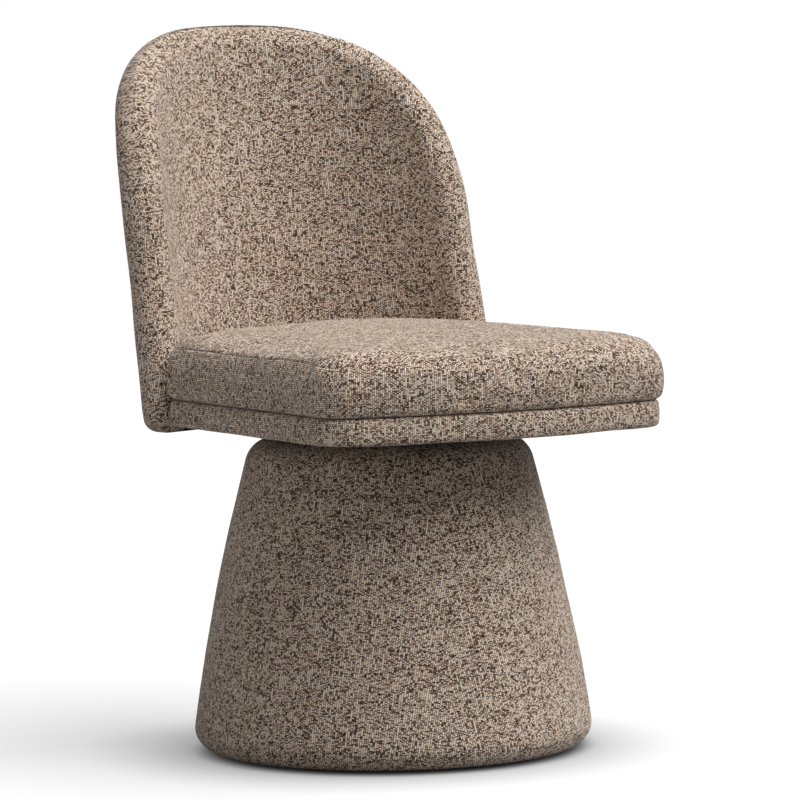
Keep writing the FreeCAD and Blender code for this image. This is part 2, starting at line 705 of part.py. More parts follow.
def facing(z, radius, angle):
    """A place on the back's curve whose own +Z looks outwards, square to the leaning wall."""
    outwards = FreeCAD.Vector(math.sin(angle), math.cos(angle), -lean * math.cos(angle))
    rotation = FreeCAD.Rotation(FreeCAD.Vector(0, 0, 1), outwards)
    return FreeCAD.Placement(around(z, radius, angle), rotation)


def level_facing(z, radius, angle):
    outwards = FreeCAD.Vector(math.sin(angle), math.cos(angle), 0)
    return FreeCAD.Placement(around(z, radius, angle), FreeCAD.Rotation(FreeCAD.Vector(0, 0, 1), outwards))


back_outside = back_layer("back_outside", 0, inner_radius, back_outer, True)
shell_blank = back_layer("shell_blank", number("back_shell_margin"), shell_inner, shell_outer, False)
board_low = number(seat_board_foot)
board_high = number(seat_board_top)
half_turn = FreeCAD.Placement(FreeCAD.Vector(), FreeCAD.Rotation(FreeCAD.Vector(1, 0, 0), 180))

# Brackets and their bolts

bracket_angles = [math.radians(sign * number("bracket_angle")) for sign in (-1, 1)]
bracket_inner = shell_inner - number("bracket_thickness")


def make_bracket(name, angle):
    """A strip bent up: one leg lies on the seat board and one follows the shell."""
    half_angle = number("bracket_width") / 2 / shell_inner
    top = board_high + number("bracket_rise")
    face = shell_inner - number("seating_gap")
    upper = leaning_sector(name + "_upper", bracket_inner, face, angle, half_angle, board_high, top)
    start = shell_inner - number("bracket_seat_leg")
    ledge = board_high + number("bracket_thickness")
    lower = leaning_sector(name + "_lower", start, face, angle, half_angle, board_high, ledge)
    return fuse(name, [upper, lower])


def make_bracket_room(name, angle):
    """The foam's slot for a bracket's upper leg, open towards the shell."""
    half_angle = number("bracket_width") / 2 / shell_inner
    top = board_high + number("bracket_rise")
    beyond = (shell_inner + shell_outer) / 2
    return leaning_sector(name, bracket_inner, beyond, angle, half_angle, board_high, top)


def bracket_places():
    """Places of the bolts of both brackets: those into the seat board, then those into the shell."""
    seat_places, back_places = [], []
    edge = number("bracket_bolt_edge")
    for angle in bracket_angles:
        start = shell_inner - number("bracket_seat_leg") + edge * 0.6
        for step in (0, 1):
            radius = start + step * number("bracket_seat_bolt_pitch")
            seat_places.append(FreeCAD.Placement(around(board_high, radius, angle), FreeCAD.Rotation()))
        for step in (0, 1):
            z = board_high + number("bracket_rise") - edge - step * number("bracket_back_bolt_pitch")
            back_places.append(facing(z, bracket_inner, angle))
    return seat_places, back_places


seat_places, back_places = bracket_places()
bracket_step = number("bracket_thickness")
seat_bolt = make_bolt("bracket_seat_bolt", "bracket_thickness + seat_board - tee_nut_flange")
bracket_seat_bolts = keep("bracket_seat_bolts", group(
    "bracket_seat_bolts", seat_bolt, [shift(0, 0, bracket_step).multiply(place) for place in seat_places]))
seat_nut_places = [shift(0, 0, board_low - board_high).multiply(place) for place in seat_places]
bracket_seat_nuts = keep("bracket_seat_nuts", group("bracket_seat_nuts", tee_nut, seat_nut_places))
bracket_seat_rooms = group("bracket_seat_rooms", tee_nut_room, seat_nut_places)
back_bolt = make_bolt("bracket_back_bolt", "bracket_thickness + back_shell - tee_nut_flange")
bracket_back_bolts = keep("bracket_back_bolts", group(
    "bracket_back_bolts", back_bolt, [place.multiply(half_turn) for place in back_places]))
nut_step = number("bracket_thickness + back_shell")
back_nut_places = [place.multiply(shift(0, 0, nut_step)).multiply(half_turn) for place in back_places]
bracket_back_nuts = keep("bracket_back_nuts", group("bracket_back_nuts", tee_nut, back_nut_places))
bracket_back_rooms = group("bracket_back_rooms", tee_nut_room, back_nut_places)

# Bolts through the shell into the edge of the seat board

edge_level = (board_low + board_high) / 2
edge_angles = []
for angle_sign in (-1, 1):
    for spread in ("edge_bolt_angle", "edge_bolt_angle + edge_bolt_spread"):
        edge_angles.append(math.radians(angle_sign * number(spread)))
edge_bolt = make_bolt("edge_bolt", "back_shell + edge_bolt_grip + barrel_nut_radius")
barrel = cylinder("barrel_nut_blank", "barrel_nut_radius", "barrel_nut_length", "0")
back_edge_bolts = keep("back_edge_bolts", group(
    "back_edge_bolts", edge_bolt, [level_facing(edge_level, shell_outer, angle) for angle in edge_angles]))
nut_radius = shell_inner - number("edge_bolt_grip")
nut_places = [FreeCAD.Placement(around(edge_level, nut_radius, angle), FreeCAD.Rotation()) for angle in edge_angles]
nut_drop = shift(0, 0, -number("seat_board") / 2)
barrel_nuts = group("barrel_nut_blanks", barrel, [nut_drop.multiply(place) for place in nut_places])
back_edge_nuts = keep("back_edge_nuts", cut("back_edge_nuts_cut", barrel_nuts, back_edge_bolts))


def make_back(tongue):
    brackets = []
    rooms = []
    for name, angle in zip(("back_bracket_left", "back_bracket_right"), bracket_angles):
        blank = make_bracket(name + "_blank", angle)
        tools = [bracket_seat_bolts, bracket_back_bolts]
        brackets.append(keep(name, cut_all(name + "_cut", blank, tools)))
        rooms.append(make_bracket_room(name + "_room", angle))
    fasteners = fuse("shell_fasteners", [bracket_back_bolts, bracket_back_rooms, back_edge_bolts])
    keep("back_shell", cut("back_shell_cut", shell_blank, fasteners))

    fabric = number("fabric")
    low, high = number("back_foot") - fabric, number("total_height") + fabric
    front_half = leaning_disc("back_front_half", (shell_inner + shell_outer) / 2, low, high)
    padding_form = back_layer("back_padding", fabric, inner_radius + fabric, back_outer - fabric, True)
    cover = cut("back_cover_whole", back_outside, padding_form)
    foam = cut("back_foam_whole", padding_form, shell_blank)
    front_cover = common("back_front_cover_blank", cover, front_half)
    keep("back_front_cover", cut("back_front_cover_cut", front_cover, tongue))
    keep("back_rear_cover", cut("back_rear_cover_cut", cover, front_half))
    front_foam = common("back_front_foam_blank", foam, front_half)
    front_tools = [tongue, fuse("bracket_rooms", rooms + [bracket_back_bolts])]
    keep("back_front_foam", cut_all("back_front_foam_cut", front_foam, front_tools))
    rear_foam = cut("back_rear_foam_blank", foam, front_half)
    rear_tools = fuse("rear_fasteners", [back_edge_bolts, bracket_back_rooms])
    keep("back_rear_foam", cut("back_rear_foam_cut", rear_foam, rear_tools))
    return brackets


# Seat: board, padded rail and cushion, all cut to the inside of the back

def make_seat():
    foot_level = number("back_foot")
    tongue_angle = math.radians(number("tongue_half_angle"))
    tongue_start = number("tongue_inner_radius")
    tongue_end = shell_inner - number("seating_gap")
    tongue_blank = leaning_sector(
        "tongue_blank", tongue_start, tongue_end, 0, tongue_angle, board_low, board_high)
    deck_top = number("seat_underside + rail_height")
    beyond = (shell_inner + shell_outer) / 2
    seat_top = number("seat_underside + rail_height + cushion_height")
    gap = number("seating_gap")
    room_reach = number("back_foot_reach") + gap
    room_half = number("back_thickness") / 2 + gap
    room_wire = back_section(foot_level, inner_radius, back_outer, room_reach, room_half, True)
    back_room = lean_up("back_room", room_wire, foot_level, seat_top)
    tongue_room = leaning_sector("tongue_room", tongue_start, beyond, 0, tongue_angle, board_low, deck_top)
    brackets = make_back(tongue_room)

    board_inset = "fabric + rail_foam_depth"
    board_blank = seat_form("board_blank", board_inset, seat_board_foot, "seat_board")
    board = fuse("board_whole", [cut("board_in_back", board_blank, back_room), tongue_blank])
    bore = cylinder("seat_board_hole", "board_centre_bore", "seat_board", seat_board_foot)
    fasteners = [upper_bolts, seat_nut_rooms, bracket_seat_bolts, bracket_seat_rooms, back_edge_bolts, barrel_nuts]
    board_tools = [bore, fuse("board_fasteners", fasteners)]
    keep("seat_board", cut_all("seat_board_cut", board, board_tools))

    rail_foot = "seat_underside"
    rail_outside = seat_form("rail_outside", "0", rail_foot, "rail_height", "rail_rounding", "rail_rounding")
    lining_height = "rail_height - 2 * fabric"
    lining_rounding = "rail_rounding - fabric"
    rail_lining = seat_form(
        "rail_lining", "fabric", seat_board_foot, lining_height, lining_rounding, lining_rounding)
    foam_tools = [board_blank, back_room, tongue_room] + brackets + [bracket_seat_bolts]
    keep("seat_rail_foam", cut_all("rail_foam_cut", rail_lining, foam_tools))
    opening = seat_form("rail_opening", "rail_turn_under", "seat_underside - fabric", "2 * fabric")
    keep("seat_rail_cover", cut_all("rail_cover_cut", rail_outside, [rail_lining, back_room, opening]))

    dust_foot = f"({seat_board_foot} - dust_cloth)"
    dust = seat_form("dust_blank", "rail_turn_under", dust_foot, "dust_cloth")
    dust_hole = cylinder("dust_hole", "plate_corner_reach + track_clearance", "dust_cloth", dust_foot)
    keep("seat_dust_cover", cut_all("dust_cut", dust, [back_room, dust_hole]))

    cushion_foot = "(seat_underside + rail_height)"
    cushion_outside = seat_form(
        "cushion_outside", "-cushion_overhang", cushion_foot, "cushion_height",
        "cushion_foot_rounding", "cushion_top_rounding")
    cushion_lining = seat_form(
        "cushion_lining", "fabric - cushion_overhang", f"{cushion_foot} + fabric", "cushion_height - 2 * fabric",
        "cushion_foot_rounding - fabric", "cushion_top_rounding - fabric")
    keep("cushion_foam", cut("cushion_foam_cut", cushion_lining, back_room))
    keep("cushion_cover", cut_all("cushion_cover_cut", cushion_outside, [cushion_lining, back_room]))


make_base()
make_swivel()
make_seat()
doc.recompute()

# Nothing is written unless every object is sound

for item in doc.Objects:
    if "Invalid" in item.State or "Error" in item.State:
        raise RuntimeError(f"{item.Name} failed: {item.State}")

os.makedirs("parts", exist_ok=True)
for name, item in pieces.items():
    shape = item.Shape
    if shape.isNull() or not shape.isValid() or not shape.Solids:
        raise RuntimeError(f"{name} has no sound solid")
    shape.exportStep(f"parts/{name}.step")
    box = shape.optimalBoundingBox(False)
    print(f"{name}: {len(shape.Solids)} solids, {shape.Volume / 1000:.1f} cm3, z {box.ZMin:.1f} to {box.ZMax:.1f}")
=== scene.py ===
import json
import math

import bpy
import numpy as np
from mathutils import Matrix, Vector, kdtree


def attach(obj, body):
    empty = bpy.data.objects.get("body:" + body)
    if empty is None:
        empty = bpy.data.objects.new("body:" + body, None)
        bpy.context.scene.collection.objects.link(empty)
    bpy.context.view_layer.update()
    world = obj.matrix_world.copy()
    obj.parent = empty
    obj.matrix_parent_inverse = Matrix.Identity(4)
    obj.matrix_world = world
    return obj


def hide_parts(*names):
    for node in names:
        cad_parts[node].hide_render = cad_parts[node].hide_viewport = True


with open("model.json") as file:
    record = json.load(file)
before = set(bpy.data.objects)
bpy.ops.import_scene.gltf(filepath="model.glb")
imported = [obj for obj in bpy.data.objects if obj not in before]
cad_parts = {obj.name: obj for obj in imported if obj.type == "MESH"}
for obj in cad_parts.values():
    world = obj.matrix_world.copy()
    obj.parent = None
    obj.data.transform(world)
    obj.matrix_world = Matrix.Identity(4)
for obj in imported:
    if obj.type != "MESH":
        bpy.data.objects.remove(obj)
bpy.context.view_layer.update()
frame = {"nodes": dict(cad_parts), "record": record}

scene = bpy.context.scene


# Camera, where the photograph was taken from

cameraLook = {
    "azimuth": 29.6108,    # degrees from the front towards the chair's right arm side
    "distance": 5.3659,
    "height": 0.8052,
    "turn": 0.1454,
    "pitch": 4.4147,
    "roll": 0.9339,
    "lens": 216.09,
    "sensor": 36.0,
    "clip": (0.1, 60),
}


def makeCamera(look):
    bearing = math.radians(look["azimuth"])
    heading = math.radians(look["azimuth"] + look["turn"])
    pitch = math.radians(look["pitch"])
    roll = math.radians(look["roll"])
    level = math.cos(pitch)
    forward = Vector((math.sin(heading) * level, math.cos(heading) * level, -math.sin(pitch)))
    right = Vector((math.cos(heading), -math.sin(heading), 0))
    up = right.cross(forward)
    cameraRight = right * math.cos(roll) - up * math.sin(roll)
    cameraUp = right * math.sin(roll) + up * math.cos(roll)
    data = bpy.data.cameras.new("camera")
    data.lens = look["lens"]
    data.sensor_width = look["sensor"]
    data.clip_start, data.clip_end = look["clip"]
    camera = bpy.data.objects.new("camera", data)
    scene.collection.objects.link(camera)
    turn = Matrix((cameraRight, cameraUp, -forward)).transposed().to_4x4()
    away = look["distance"]
    place = Vector((-math.sin(bearing) * away, -math.cos(bearing) * away, look["height"]))
    camera.matrix_world = Matrix.Translation(place) @ turn
    scene.camera = camera


makeCamera(cameraLook)
print("camera set")


# Shader helpers

def newMaterial(name, roughness, **sockets):
    material = bpy.data.materials.new(name)
    material.use_nodes = True
    shader = material.node_tree.nodes["Principled BSDF"]
    shader.inputs["Roughness"].default_value = roughness
    for socket, value in sockets.items():
        shader.inputs[socket.replace("_", " ")].default_value = value
    return material, material.node_tree, shader


def addNode(tree, kind, **settings):
    node = tree.nodes.new(kind)
    for key, value in settings.items():
        setattr(node, key, value)
    return node


def feed(tree, socket, value):
    if isinstance(value, bpy.types.NodeSocket):
        tree.links.new(value, socket)
    else:
        socket.default_value = value


def maths(tree, operation, *values):
    node = addNode(tree, "ShaderNodeMath", operation=operation)
    for socket, value in zip(node.inputs, values):
        feed(tree, socket, value)
    return node.outputs[0]


def pair(tree, across, along, third=0.0):
    node = addNode(tree, "ShaderNodeCombineXYZ")
    for socket, value in zip(node.inputs, (across, along, third)):
        feed(tree, socket, value)
    return node.outputs[0]


def chance(tree, across, along, third=0.0):
    node = addNode(tree, "ShaderNodeTexWhiteNoise", noise_dimensions="3D")
    tree.links.new(pair(tree, across, along, third), node.inputs["Vector"])
    return node.outputs["Value"]


def noiseOf(tree, vector, scale, detail=2.0, roughness=0.5):
    node = addNode(tree, "ShaderNodeTexNoise", noise_dimensions="3D")
    tree.links.new(vector, node.inputs["Vector"])
    node.inputs["Scale"].default_value = scale
    node.inputs["Detail"].default_value = detail
    node.inputs["Roughness"].default_value = roughness
    return node


def blendOf(tree, share, first, second):
    node = addNode(tree, "ShaderNodeMix", data_type="FLOAT")
    feed(tree, node.inputs[0], share)
    feed(tree, node.inputs[2], first)
    feed(tree, node.inputs[3], second)
    return node.outputs[0]


def blendColours(tree, share, first, second, how="MIX"):
    node = addNode(tree, "ShaderNodeMix", data_type="RGBA", blend_type=how)
    feed(tree, node.inputs[0], share)
    for socket, value in ((node.inputs[6], first), (node.inputs[7], second)):
        feed(tree, socket, value if isinstance(value, bpy.types.NodeSocket) else (*value, 1.0))
    return node.outputs[2]


def rampOf(tree, value, stops):
    node = addNode(tree, "ShaderNodeValToRGB")
    ramp = node.color_ramp
    while len(ramp.elements) < len(stops):
        ramp.elements.new(0.5)
    for element, (place, colour) in zip(ramp.elements, stops):
        element.position = place
        element.color = (*colour, 1.0)
    tree.links.new(value, node.inputs["Fac"])
    return node.outputs["Color"]


def bumpOf(tree, height, distance, strength=1.0):
    node = addNode(tree, "ShaderNodeBump")
    tree.links.new(height, node.inputs["Height"])
    node.inputs["Distance"].default_value = distance
    node.inputs["Strength"].default_value = strength
    return node.outputs["Normal"]


# Tweed: a plain weave of mixed light and dark yarns, counted in metres of cloth

tweedLook = {
    "pitch": (0.00225, 0.00138),    # from thread to thread, across and along
    "sway": 0.0011, "swayScale": 42.0, "swayDetail": 3.0,
    "runs": (2.3, 2.7),             # crossings that one shade of yarn lasts
    "runShare": 0.42, "runShift": 40.0,
    "swap": 0.25,                   # share of crossings where the upright yarn comes up out of turn
    "slubs": (0.018, 0.006), "slubLength": 9.0, "slubLift": 0.25,
    "lighter": (0.09, -0.11),       # the upright yarns are the lighter ones
    "shades": (
        (0.16, (0.042, 0.023, 0.015)),
        (0.36, (0.200, 0.124, 0.082)),
        (0.50, (0.670, 0.475, 0.355)),
        (0.62, (0.980, 0.775, 0.620)),
        (0.86, (1.000, 0.885, 0.750)),
    ),
    "fibreScale": 1500.0, "fibreShade": 0.4, "fibreRise": 0.5,
    "broadScale": 9.0, "broadShare": 0.35, "broadTint": (0.90, 0.88, 0.82),
    "dip": 0.6,                     # how low a thread lies where it goes under another
    "gap": 0.12,                    # painted shade between the threads: how dark the colour is where a thread lies lowest
    "relief": 0.0005, "reliefStrength": 0.8,
    "roughness": 0.9,
    "sheen": 0.12, "sheenRoughness": 0.45, "gloss": 0.25,
    "seeds": {"shift": 7.3, "run": 3.1, "crossing": 11.7, "slub": 5.7, "swap": 29.0},
}


def makeTweed(look):
    material, tree, shader = newMaterial(
        "tweed", look["roughness"], Sheen_Weight=look["sheen"], Sheen_Roughness=look["sheenRoughness"],
        Specular_IOR_Level=look["gloss"])
    seeds = look["seeds"]
    cloth = addNode(tree, "ShaderNodeUVMap", uv_map="cloth").outputs[0]
    swayNoise = noiseOf(tree, cloth, look["swayScale"], look["swayDetail"])
    split = addNode(tree, "ShaderNodeSeparateXYZ")
    tree.links.new(cloth, split.inputs[0])
    drift = addNode(tree, "ShaderNodeSeparateColor")
    tree.links.new(swayNoise.outputs["Color"], drift.inputs[0])
    counts = []
    for axis in (0, 1):
        shift = maths(tree, "MULTIPLY", maths(tree, "SUBTRACT", drift.outputs[axis], 0.5), look["sway"] * 2)
        moved = maths(tree, "ADD", split.outputs[axis], shift)
        counts.append(maths(tree, "DIVIDE", moved, look["pitch"][axis]))
    whole = [maths(tree, "FLOOR", count) for count in counts]
    part = [maths(tree, "FRACT", count) for count in counts]

    # each yarn changes shade every few crossings, at a place of its own, and now and then it is thick
    tones, thick = [], []
    for axis in (0, 1):
        other = 1 - axis
        start = maths(tree, "MULTIPLY", chance(tree, whole[axis], seeds["shift"] + axis), look["runShift"])
        slid = maths(tree, "ADD", counts[other], start)
        run = maths(tree, "FLOOR", maths(tree, "DIVIDE", slid, look["runs"][axis]))
        slub = maths(tree, "FLOOR", maths(tree, "DIVIDE", slid, look["slubLength"]))
        long = chance(tree, whole[axis], run, seeds["run"] + axis)
        short = chance(tree, whole[0], whole[1], seeds["crossing"] + axis)
        slubChance = chance(tree, whole[axis], slub, seeds["slub"] + axis)
        isThick = maths(tree, "LESS_THAN", slubChance, look["slubs"][axis])
        tone = maths(tree, "ADD", blendOf(tree, look["runShare"], short, long), look["lighter"][axis])
        tones.append(maths(tree, "ADD", tone, maths(tree, "MULTIPLY", isThick, look["slubLift"])))
        thick.append(isThick)

    # over and under, one by one, apart from the swapped crossings and the thick yarns
    parity = maths(tree, "FRACT", maths(tree, "MULTIPLY", maths(tree, "ADD", whole[0], whole[1]), 0.5))
    over = maths(tree, "GREATER_THAN", parity, 0.25)
    keep = maths(tree, "GREATER_THAN", chance(tree, whole[0], whole[1], seeds["swap"]), look["swap"])
    top = maths(tree, "MAXIMUM", maths(tree, "MULTIPLY", over, keep), thick[1])
    top = maths(tree, "MULTIPLY", top, maths(tree, "SUBTRACT", 1.0, thick[0]))
    arcs = [maths(tree, "SINE", maths(tree, "MULTIPLY", value, math.pi)) for value in part]
    heights = [
        maths(tree, "MULTIPLY", arcs[axis], blendOf(tree, arcs[1 - axis], look["dip"], 1.0)) for axis in (0, 1)]
    height = blendOf(tree, top, *heights)

    tone = blendOf(tree, top, *tones)
    fibre = noiseOf(tree, cloth, look["fibreScale"]).outputs["Fac"]
    fibreTone = maths(tree, "MULTIPLY", maths(tree, "SUBTRACT", fibre, 0.5), look["fibreShade"])
    shade = rampOf(tree, maths(tree, "ADD", tone, fibreTone), look["shades"])
    broad = noiseOf(tree, cloth, look["broadScale"], 3.0).outputs["Fac"]
    broadShare = maths(tree, "MULTIPLY", broad, look["broadShare"])
    shade = blendColours(tree, broadShare, shade, look["broadTint"], "MULTIPLY")
    # painted shade: the colour is darkened where a thread lies low, between and under the other threads
    depth = maths(tree, "ADD", look["gap"], maths(tree, "MULTIPLY", height, 1.0 - look["gap"]))
    shade = blendColours(tree, 1.0, shade, pair(tree, depth, depth, depth), "MULTIPLY")
    tree.links.new(shade, shader.inputs["Base Color"])
    rise = maths(tree, "ADD", height, maths(tree, "MULTIPLY", fibre, look["fibreRise"]))
    tree.links.new(bumpOf(tree, rise, look["relief"], look["reliefStrength"]), shader.inputs["Normal"])
    return material


tweed = makeTweed(tweedLook)
print("tweed woven")


# Materials of the hidden and half-hidden hardware

plywoodLook = {
    "light": (0.66, 0.49, 0.32), "dark": (0.46, 0.31, 0.18), "shades": (0.3, 0.7), "roughness": 0.62,
    "stretch": (6.0, 90.0, 90.0), "grain": 0.8, "ply": 0.0015, "plyShade": 0.18, "relief": 0.0004,
}
hardwareLook = {
    "foam": {
        "name": "cutFoam", "light": (0.86, 0.80, 0.60), "dark": (0.70, 0.62, 0.42),
        "scale": 900.0, "roughness": 0.95, "relief": 0.0006},
    "dust_cloth": {
        "name": "dustCloth", "light": (0.030, 0.030, 0.032), "dark": (0.010, 0.010, 0.011),
        "scale": 1400.0, "roughness": 0.9, "relief": 0.0003, "sockets": {"Specular_IOR_Level": 0.2}},
    "black_steel": {
        "name": "blackSteel", "light": (0.035, 0.035, 0.037), "dark": (0.016, 0.016, 0.017),
        "scale": 260.0, "roughness": 0.42, "relief": 0.0001},
    "bolt_steel": {
        "name": "zincSteel", "light": (0.66, 0.66, 0.63), "dark": (0.42, 0.42, 0.41),
        "scale": 500.0, "roughness": 0.38, "relief": 0.00005, "sockets": {"Metallic": 1.0}},
    "ball_steel": {
        "name": "ballSteel", "light": (0.80, 0.80, 0.80), "dark": (0.66, 0.66, 0.66),
        "scale": 300.0, "roughness": 0.16, "relief": 0.00001, "sockets": {"Metallic": 1.0}},
    "nylon": {
        "name": "nylon", "light": (0.055, 0.055, 0.056), "dark": (0.030, 0.030, 0.031),
        "scale": 700.0, "roughness": 0.6, "relief": 0.00008},
}
mottleLook = {"detail": 5.0, "noiseRoughness": 0.6, "shades": (0.35, 0.65), "dullness": 0.16}


def makeMottled(look, mottle):
    material, tree, shader = newMaterial(look["name"], look["roughness"], **look.get("sockets", {}))
    place = addNode(tree, "ShaderNodeTexCoord").outputs["Object"]
    grain = noiseOf(tree, place, look["scale"], mottle["detail"], mottle["noiseRoughness"]).outputs["Fac"]
    stops = list(zip(mottle["shades"], (look["dark"], look["light"])))
    tree.links.new(rampOf(tree, grain, stops), shader.inputs["Base Color"])
    spread = mottle["dullness"]
    dull = maths(tree, "ADD", look["roughness"] - spread / 2, maths(tree, "MULTIPLY", grain, spread))
    tree.links.new(dull, shader.inputs["Roughness"])
    tree.links.new(bumpOf(tree, grain, look["relief"]), shader.inputs["Normal"])
    return material


def makePlywood(look):
    material, tree, shader = newMaterial("plywood", look["roughness"])
    place = addNode(tree, "ShaderNodeTexCoord").outputs["Object"]
    stretch = addNode(tree, "ShaderNodeMapping")
    stretch.inputs["Scale"].default_value = look["stretch"]
    tree.links.new(place, stretch.inputs["Vector"])
    grain = noiseOf(tree, stretch.outputs[0], 1.0, 6.0, 0.65).outputs["Fac"]
    split = addNode(tree, "ShaderNodeSeparateXYZ")
    tree.links.new(place, split.inputs[0])
    ply = maths(tree, "FRACT", maths(tree, "DIVIDE", split.outputs[2], look["ply"] * 2))
    plyShade = maths(tree, "MULTIPLY", maths(tree, "GREATER_THAN", ply, 0.5), look["plyShade"])
    value = maths(tree, "ADD", maths(tree, "MULTIPLY", grain, look["grain"]), plyShade)
    stops = list(zip(look["shades"], (look["dark"], look["light"])))
    tree.links.new(rampOf(tree, value, stops), shader.inputs["Base Color"])
    tree.links.new(bumpOf(tree, grain, look["relief"]), shader.inputs["Normal"])
    return material


slotMaterials = {"tweed": tweed, "plywood": makePlywood(plywoodLook)}
for slot, look in hardwareLook.items():
    slotMaterials[slot] = makeMottled(look, mottleLook)
for part in frame["record"]["subparts"]:
    node = frame["nodes"][part["node"]]
    node.data.materials.clear()
    node.data.materials.append(slotMaterials[part["material_slot"]])
print("hardware finished")


# Mesh helpers

def newPiece(name, points, faces, cornerUvs, material=tweed):
    mesh = bpy.data.meshes.new(name)
    mesh.from_pydata([tuple(point) for point in points], [], faces)
    layer = mesh.uv_layers.new(name="cloth")
    layer.data.foreach_set("uv", np.asarray(cornerUvs, np.float32).ravel())
    mesh.polygons.foreach_set("use_smooth", [True] * len(mesh.polygons))
    mesh.materials.append(material)
    mesh.validate()
    mesh.update()
    piece = bpy.data.objects.new(name, mesh)
    scene.collection.objects.link(piece)
    return piece


def bandFace(level, step, count):
    after = (step + 1) % count
    low, high = level * count, (level + 1) * count
    return (low + step, low + after, high + after, high + step)


turnedPatch = 7.0    # how far from the rest of the cloth the turned side strips are cut, in metres


def coverRings(name, rings, uvOf, turned=None):
    count = len(rings[0])
    last = len(rings) - 1
    points = np.concatenate(rings)
    faces, uvs = [], []
    for level in range(last):
        low, high = uvOf(level)
        for step in range(count):
            faces.append(bandFace(level, step, count))
            corner = [low[step], low[step + 1], high[step + 1], high[step]]
            if turned is not None and turned(level, step):
                corner = [point[::-1] + turnedPatch for point in corner]
            uvs += corner
    for level in (0, last):    # both ends are closed round a middle point
        middle = len(points)
        points = np.concatenate([points, rings[level].mean(0, keepdims=True)])
        edge = uvOf(0)[0] if level == 0 else uvOf(last - 1)[1]
        centreUv = np.mean(edge[:count], axis=0)
        for step in range(count):
            here, after = level * count + step, level * count + (step + 1) % count
            if level == 0:
                faces.append((middle, after, here))
                uvs += [centreUv, edge[step + 1], edge[step]]
            else:
                faces.append((middle, here, after))
                uvs += [centreUv, edge[step], edge[step + 1]]
    return newPiece(name, points, faces, uvs)


def smoothNoise(points, scale, seed):
    generator = np.random.default_rng(seed)
    waves = 9
    total = np.zeros(len(points))
    for _ in range(waves):
        direction = generator.normal(size=3)
        direction *= generator.uniform(0.6, 1.4) / np.linalg.norm(direction)
        total += np.sin(points @ direction * 2 * math.pi / scale + generator.uniform(0, 2 * math.pi))
    return total / math.sqrt(waves)


def unevenness(points, waves):
    return sum(height * smoothNoise(points, scale, seed) for height, scale, seed in waves)


def runAlong(line):
    return np.concatenate([[0], np.cumsum(np.linalg.norm(np.diff(line, axis=0), axis=1))])


def meshPoints(piece):
    points = np.empty(len(piece.data.vertices) * 3, np.float32)
    piece.data.vertices.foreach_get("co", points)
    return points.reshape(-1, 3).astype(float)


def meshNormals(piece):
    normals = np.empty(len(piece.data.vertices) * 3, np.float32)
    piece.data.vertices.foreach_get("normal", normals)
    return normals.reshape(-1, 3).astype(float)


def movePoints(piece, points):
    piece.data.vertices.foreach_set("co", points.astype(np.float32).ravel())
    piece.data.update()


def pushOut(piece, riseOf):
    points = meshPoints(piece)
    movePoints(piece, points + meshNormals(piece) * riseOf(points)[:, None])


def easeIn(values, start, over):
    return np.clip((values - start) / over, 0, 1)


# Swelling: cloth is blown up gently round the form, and the drawn piece takes over that movement

swellLook = {
    "voxel": 0.0065, "frames": 18, "leastHold": 0.01, "nearest": 5, "reach": 0.002,
    "cloth": {
        "quality": 5, "mass": 0.4, "tension_stiffness": 18, "compression_stiffness": 18,
        "shear_stiffness": 8, "bending_stiffness": 2.5, "use_pressure": True,
        "uniform_pressure_force": 3.5, "shrink_min": -0.01, "vertex_group_mass": "hold", "pin_stiffness": 1.0,
    },
}


def swell(piece, look, cap, hold):
    copy = piece.copy()
    copy.data = piece.data.copy()
    scene.collection.objects.link(copy)
    remesh = copy.modifiers.new("even", "REMESH")
    remesh.mode = "VOXEL"
    remesh.voxel_size = look["voxel"]
    depsgraph = bpy.context.evaluated_depsgraph_get()
    even = bpy.data.meshes.new_from_object(copy.evaluated_get(depsgraph))
    copy.modifiers.clear()
    copy.data = even
    before = meshPoints(copy)
    pins = copy.vertex_groups.new(name="hold")
    for index, share in enumerate(hold(before)):
        if share > look["leastHold"]:
            pins.add([index], float(share), "REPLACE")
    cloth = copy.modifiers.new("swell", "CLOTH")
    for key, value in look["cloth"].items():
        setattr(cloth.settings, key, value)
    cloth.settings.effector_weights.gravity = 0
    cloth.point_cache.frame_end = look["frames"] + 2
    for step in range(1, look["frames"] + 1):
        scene.frame_set(step)
    depsgraph = bpy.context.evaluated_depsgraph_get()
    blown = copy.evaluated_get(depsgraph)
    after = np.array([vertex.co for vertex in blown.data.vertices])
    scene.frame_set(1)
    moved = after - before
    length = np.linalg.norm(moved, axis=1, keepdims=True)
    moved *= np.minimum(1.0, cap / np.maximum(length, 1e-9))
    tree = kdtree.KDTree(len(before))
    for index, point in enumerate(before):
        tree.insert(point, index)
    tree.balance()
    points = meshPoints(piece)
    shifted = points.copy()
    for index, point in enumerate(points):
        near = tree.find_n(point, look["nearest"])
        weights = np.array([1.0 / (distance + look["reach"]) ** 2 for _, _, distance in near])
        shifted[index] += (moved[[number for _, number, _ in near]] * weights[:, None]).sum(0) / weights.sum()
    movePoints(piece, shifted)
    bpy.data.objects.remove(copy)
    print(f"{piece.name} swelled by up to {length.max() * 1000:.1f} mm")


# Plan of the cushion and the rail: bowed front, round corners, and a rear that follows the back

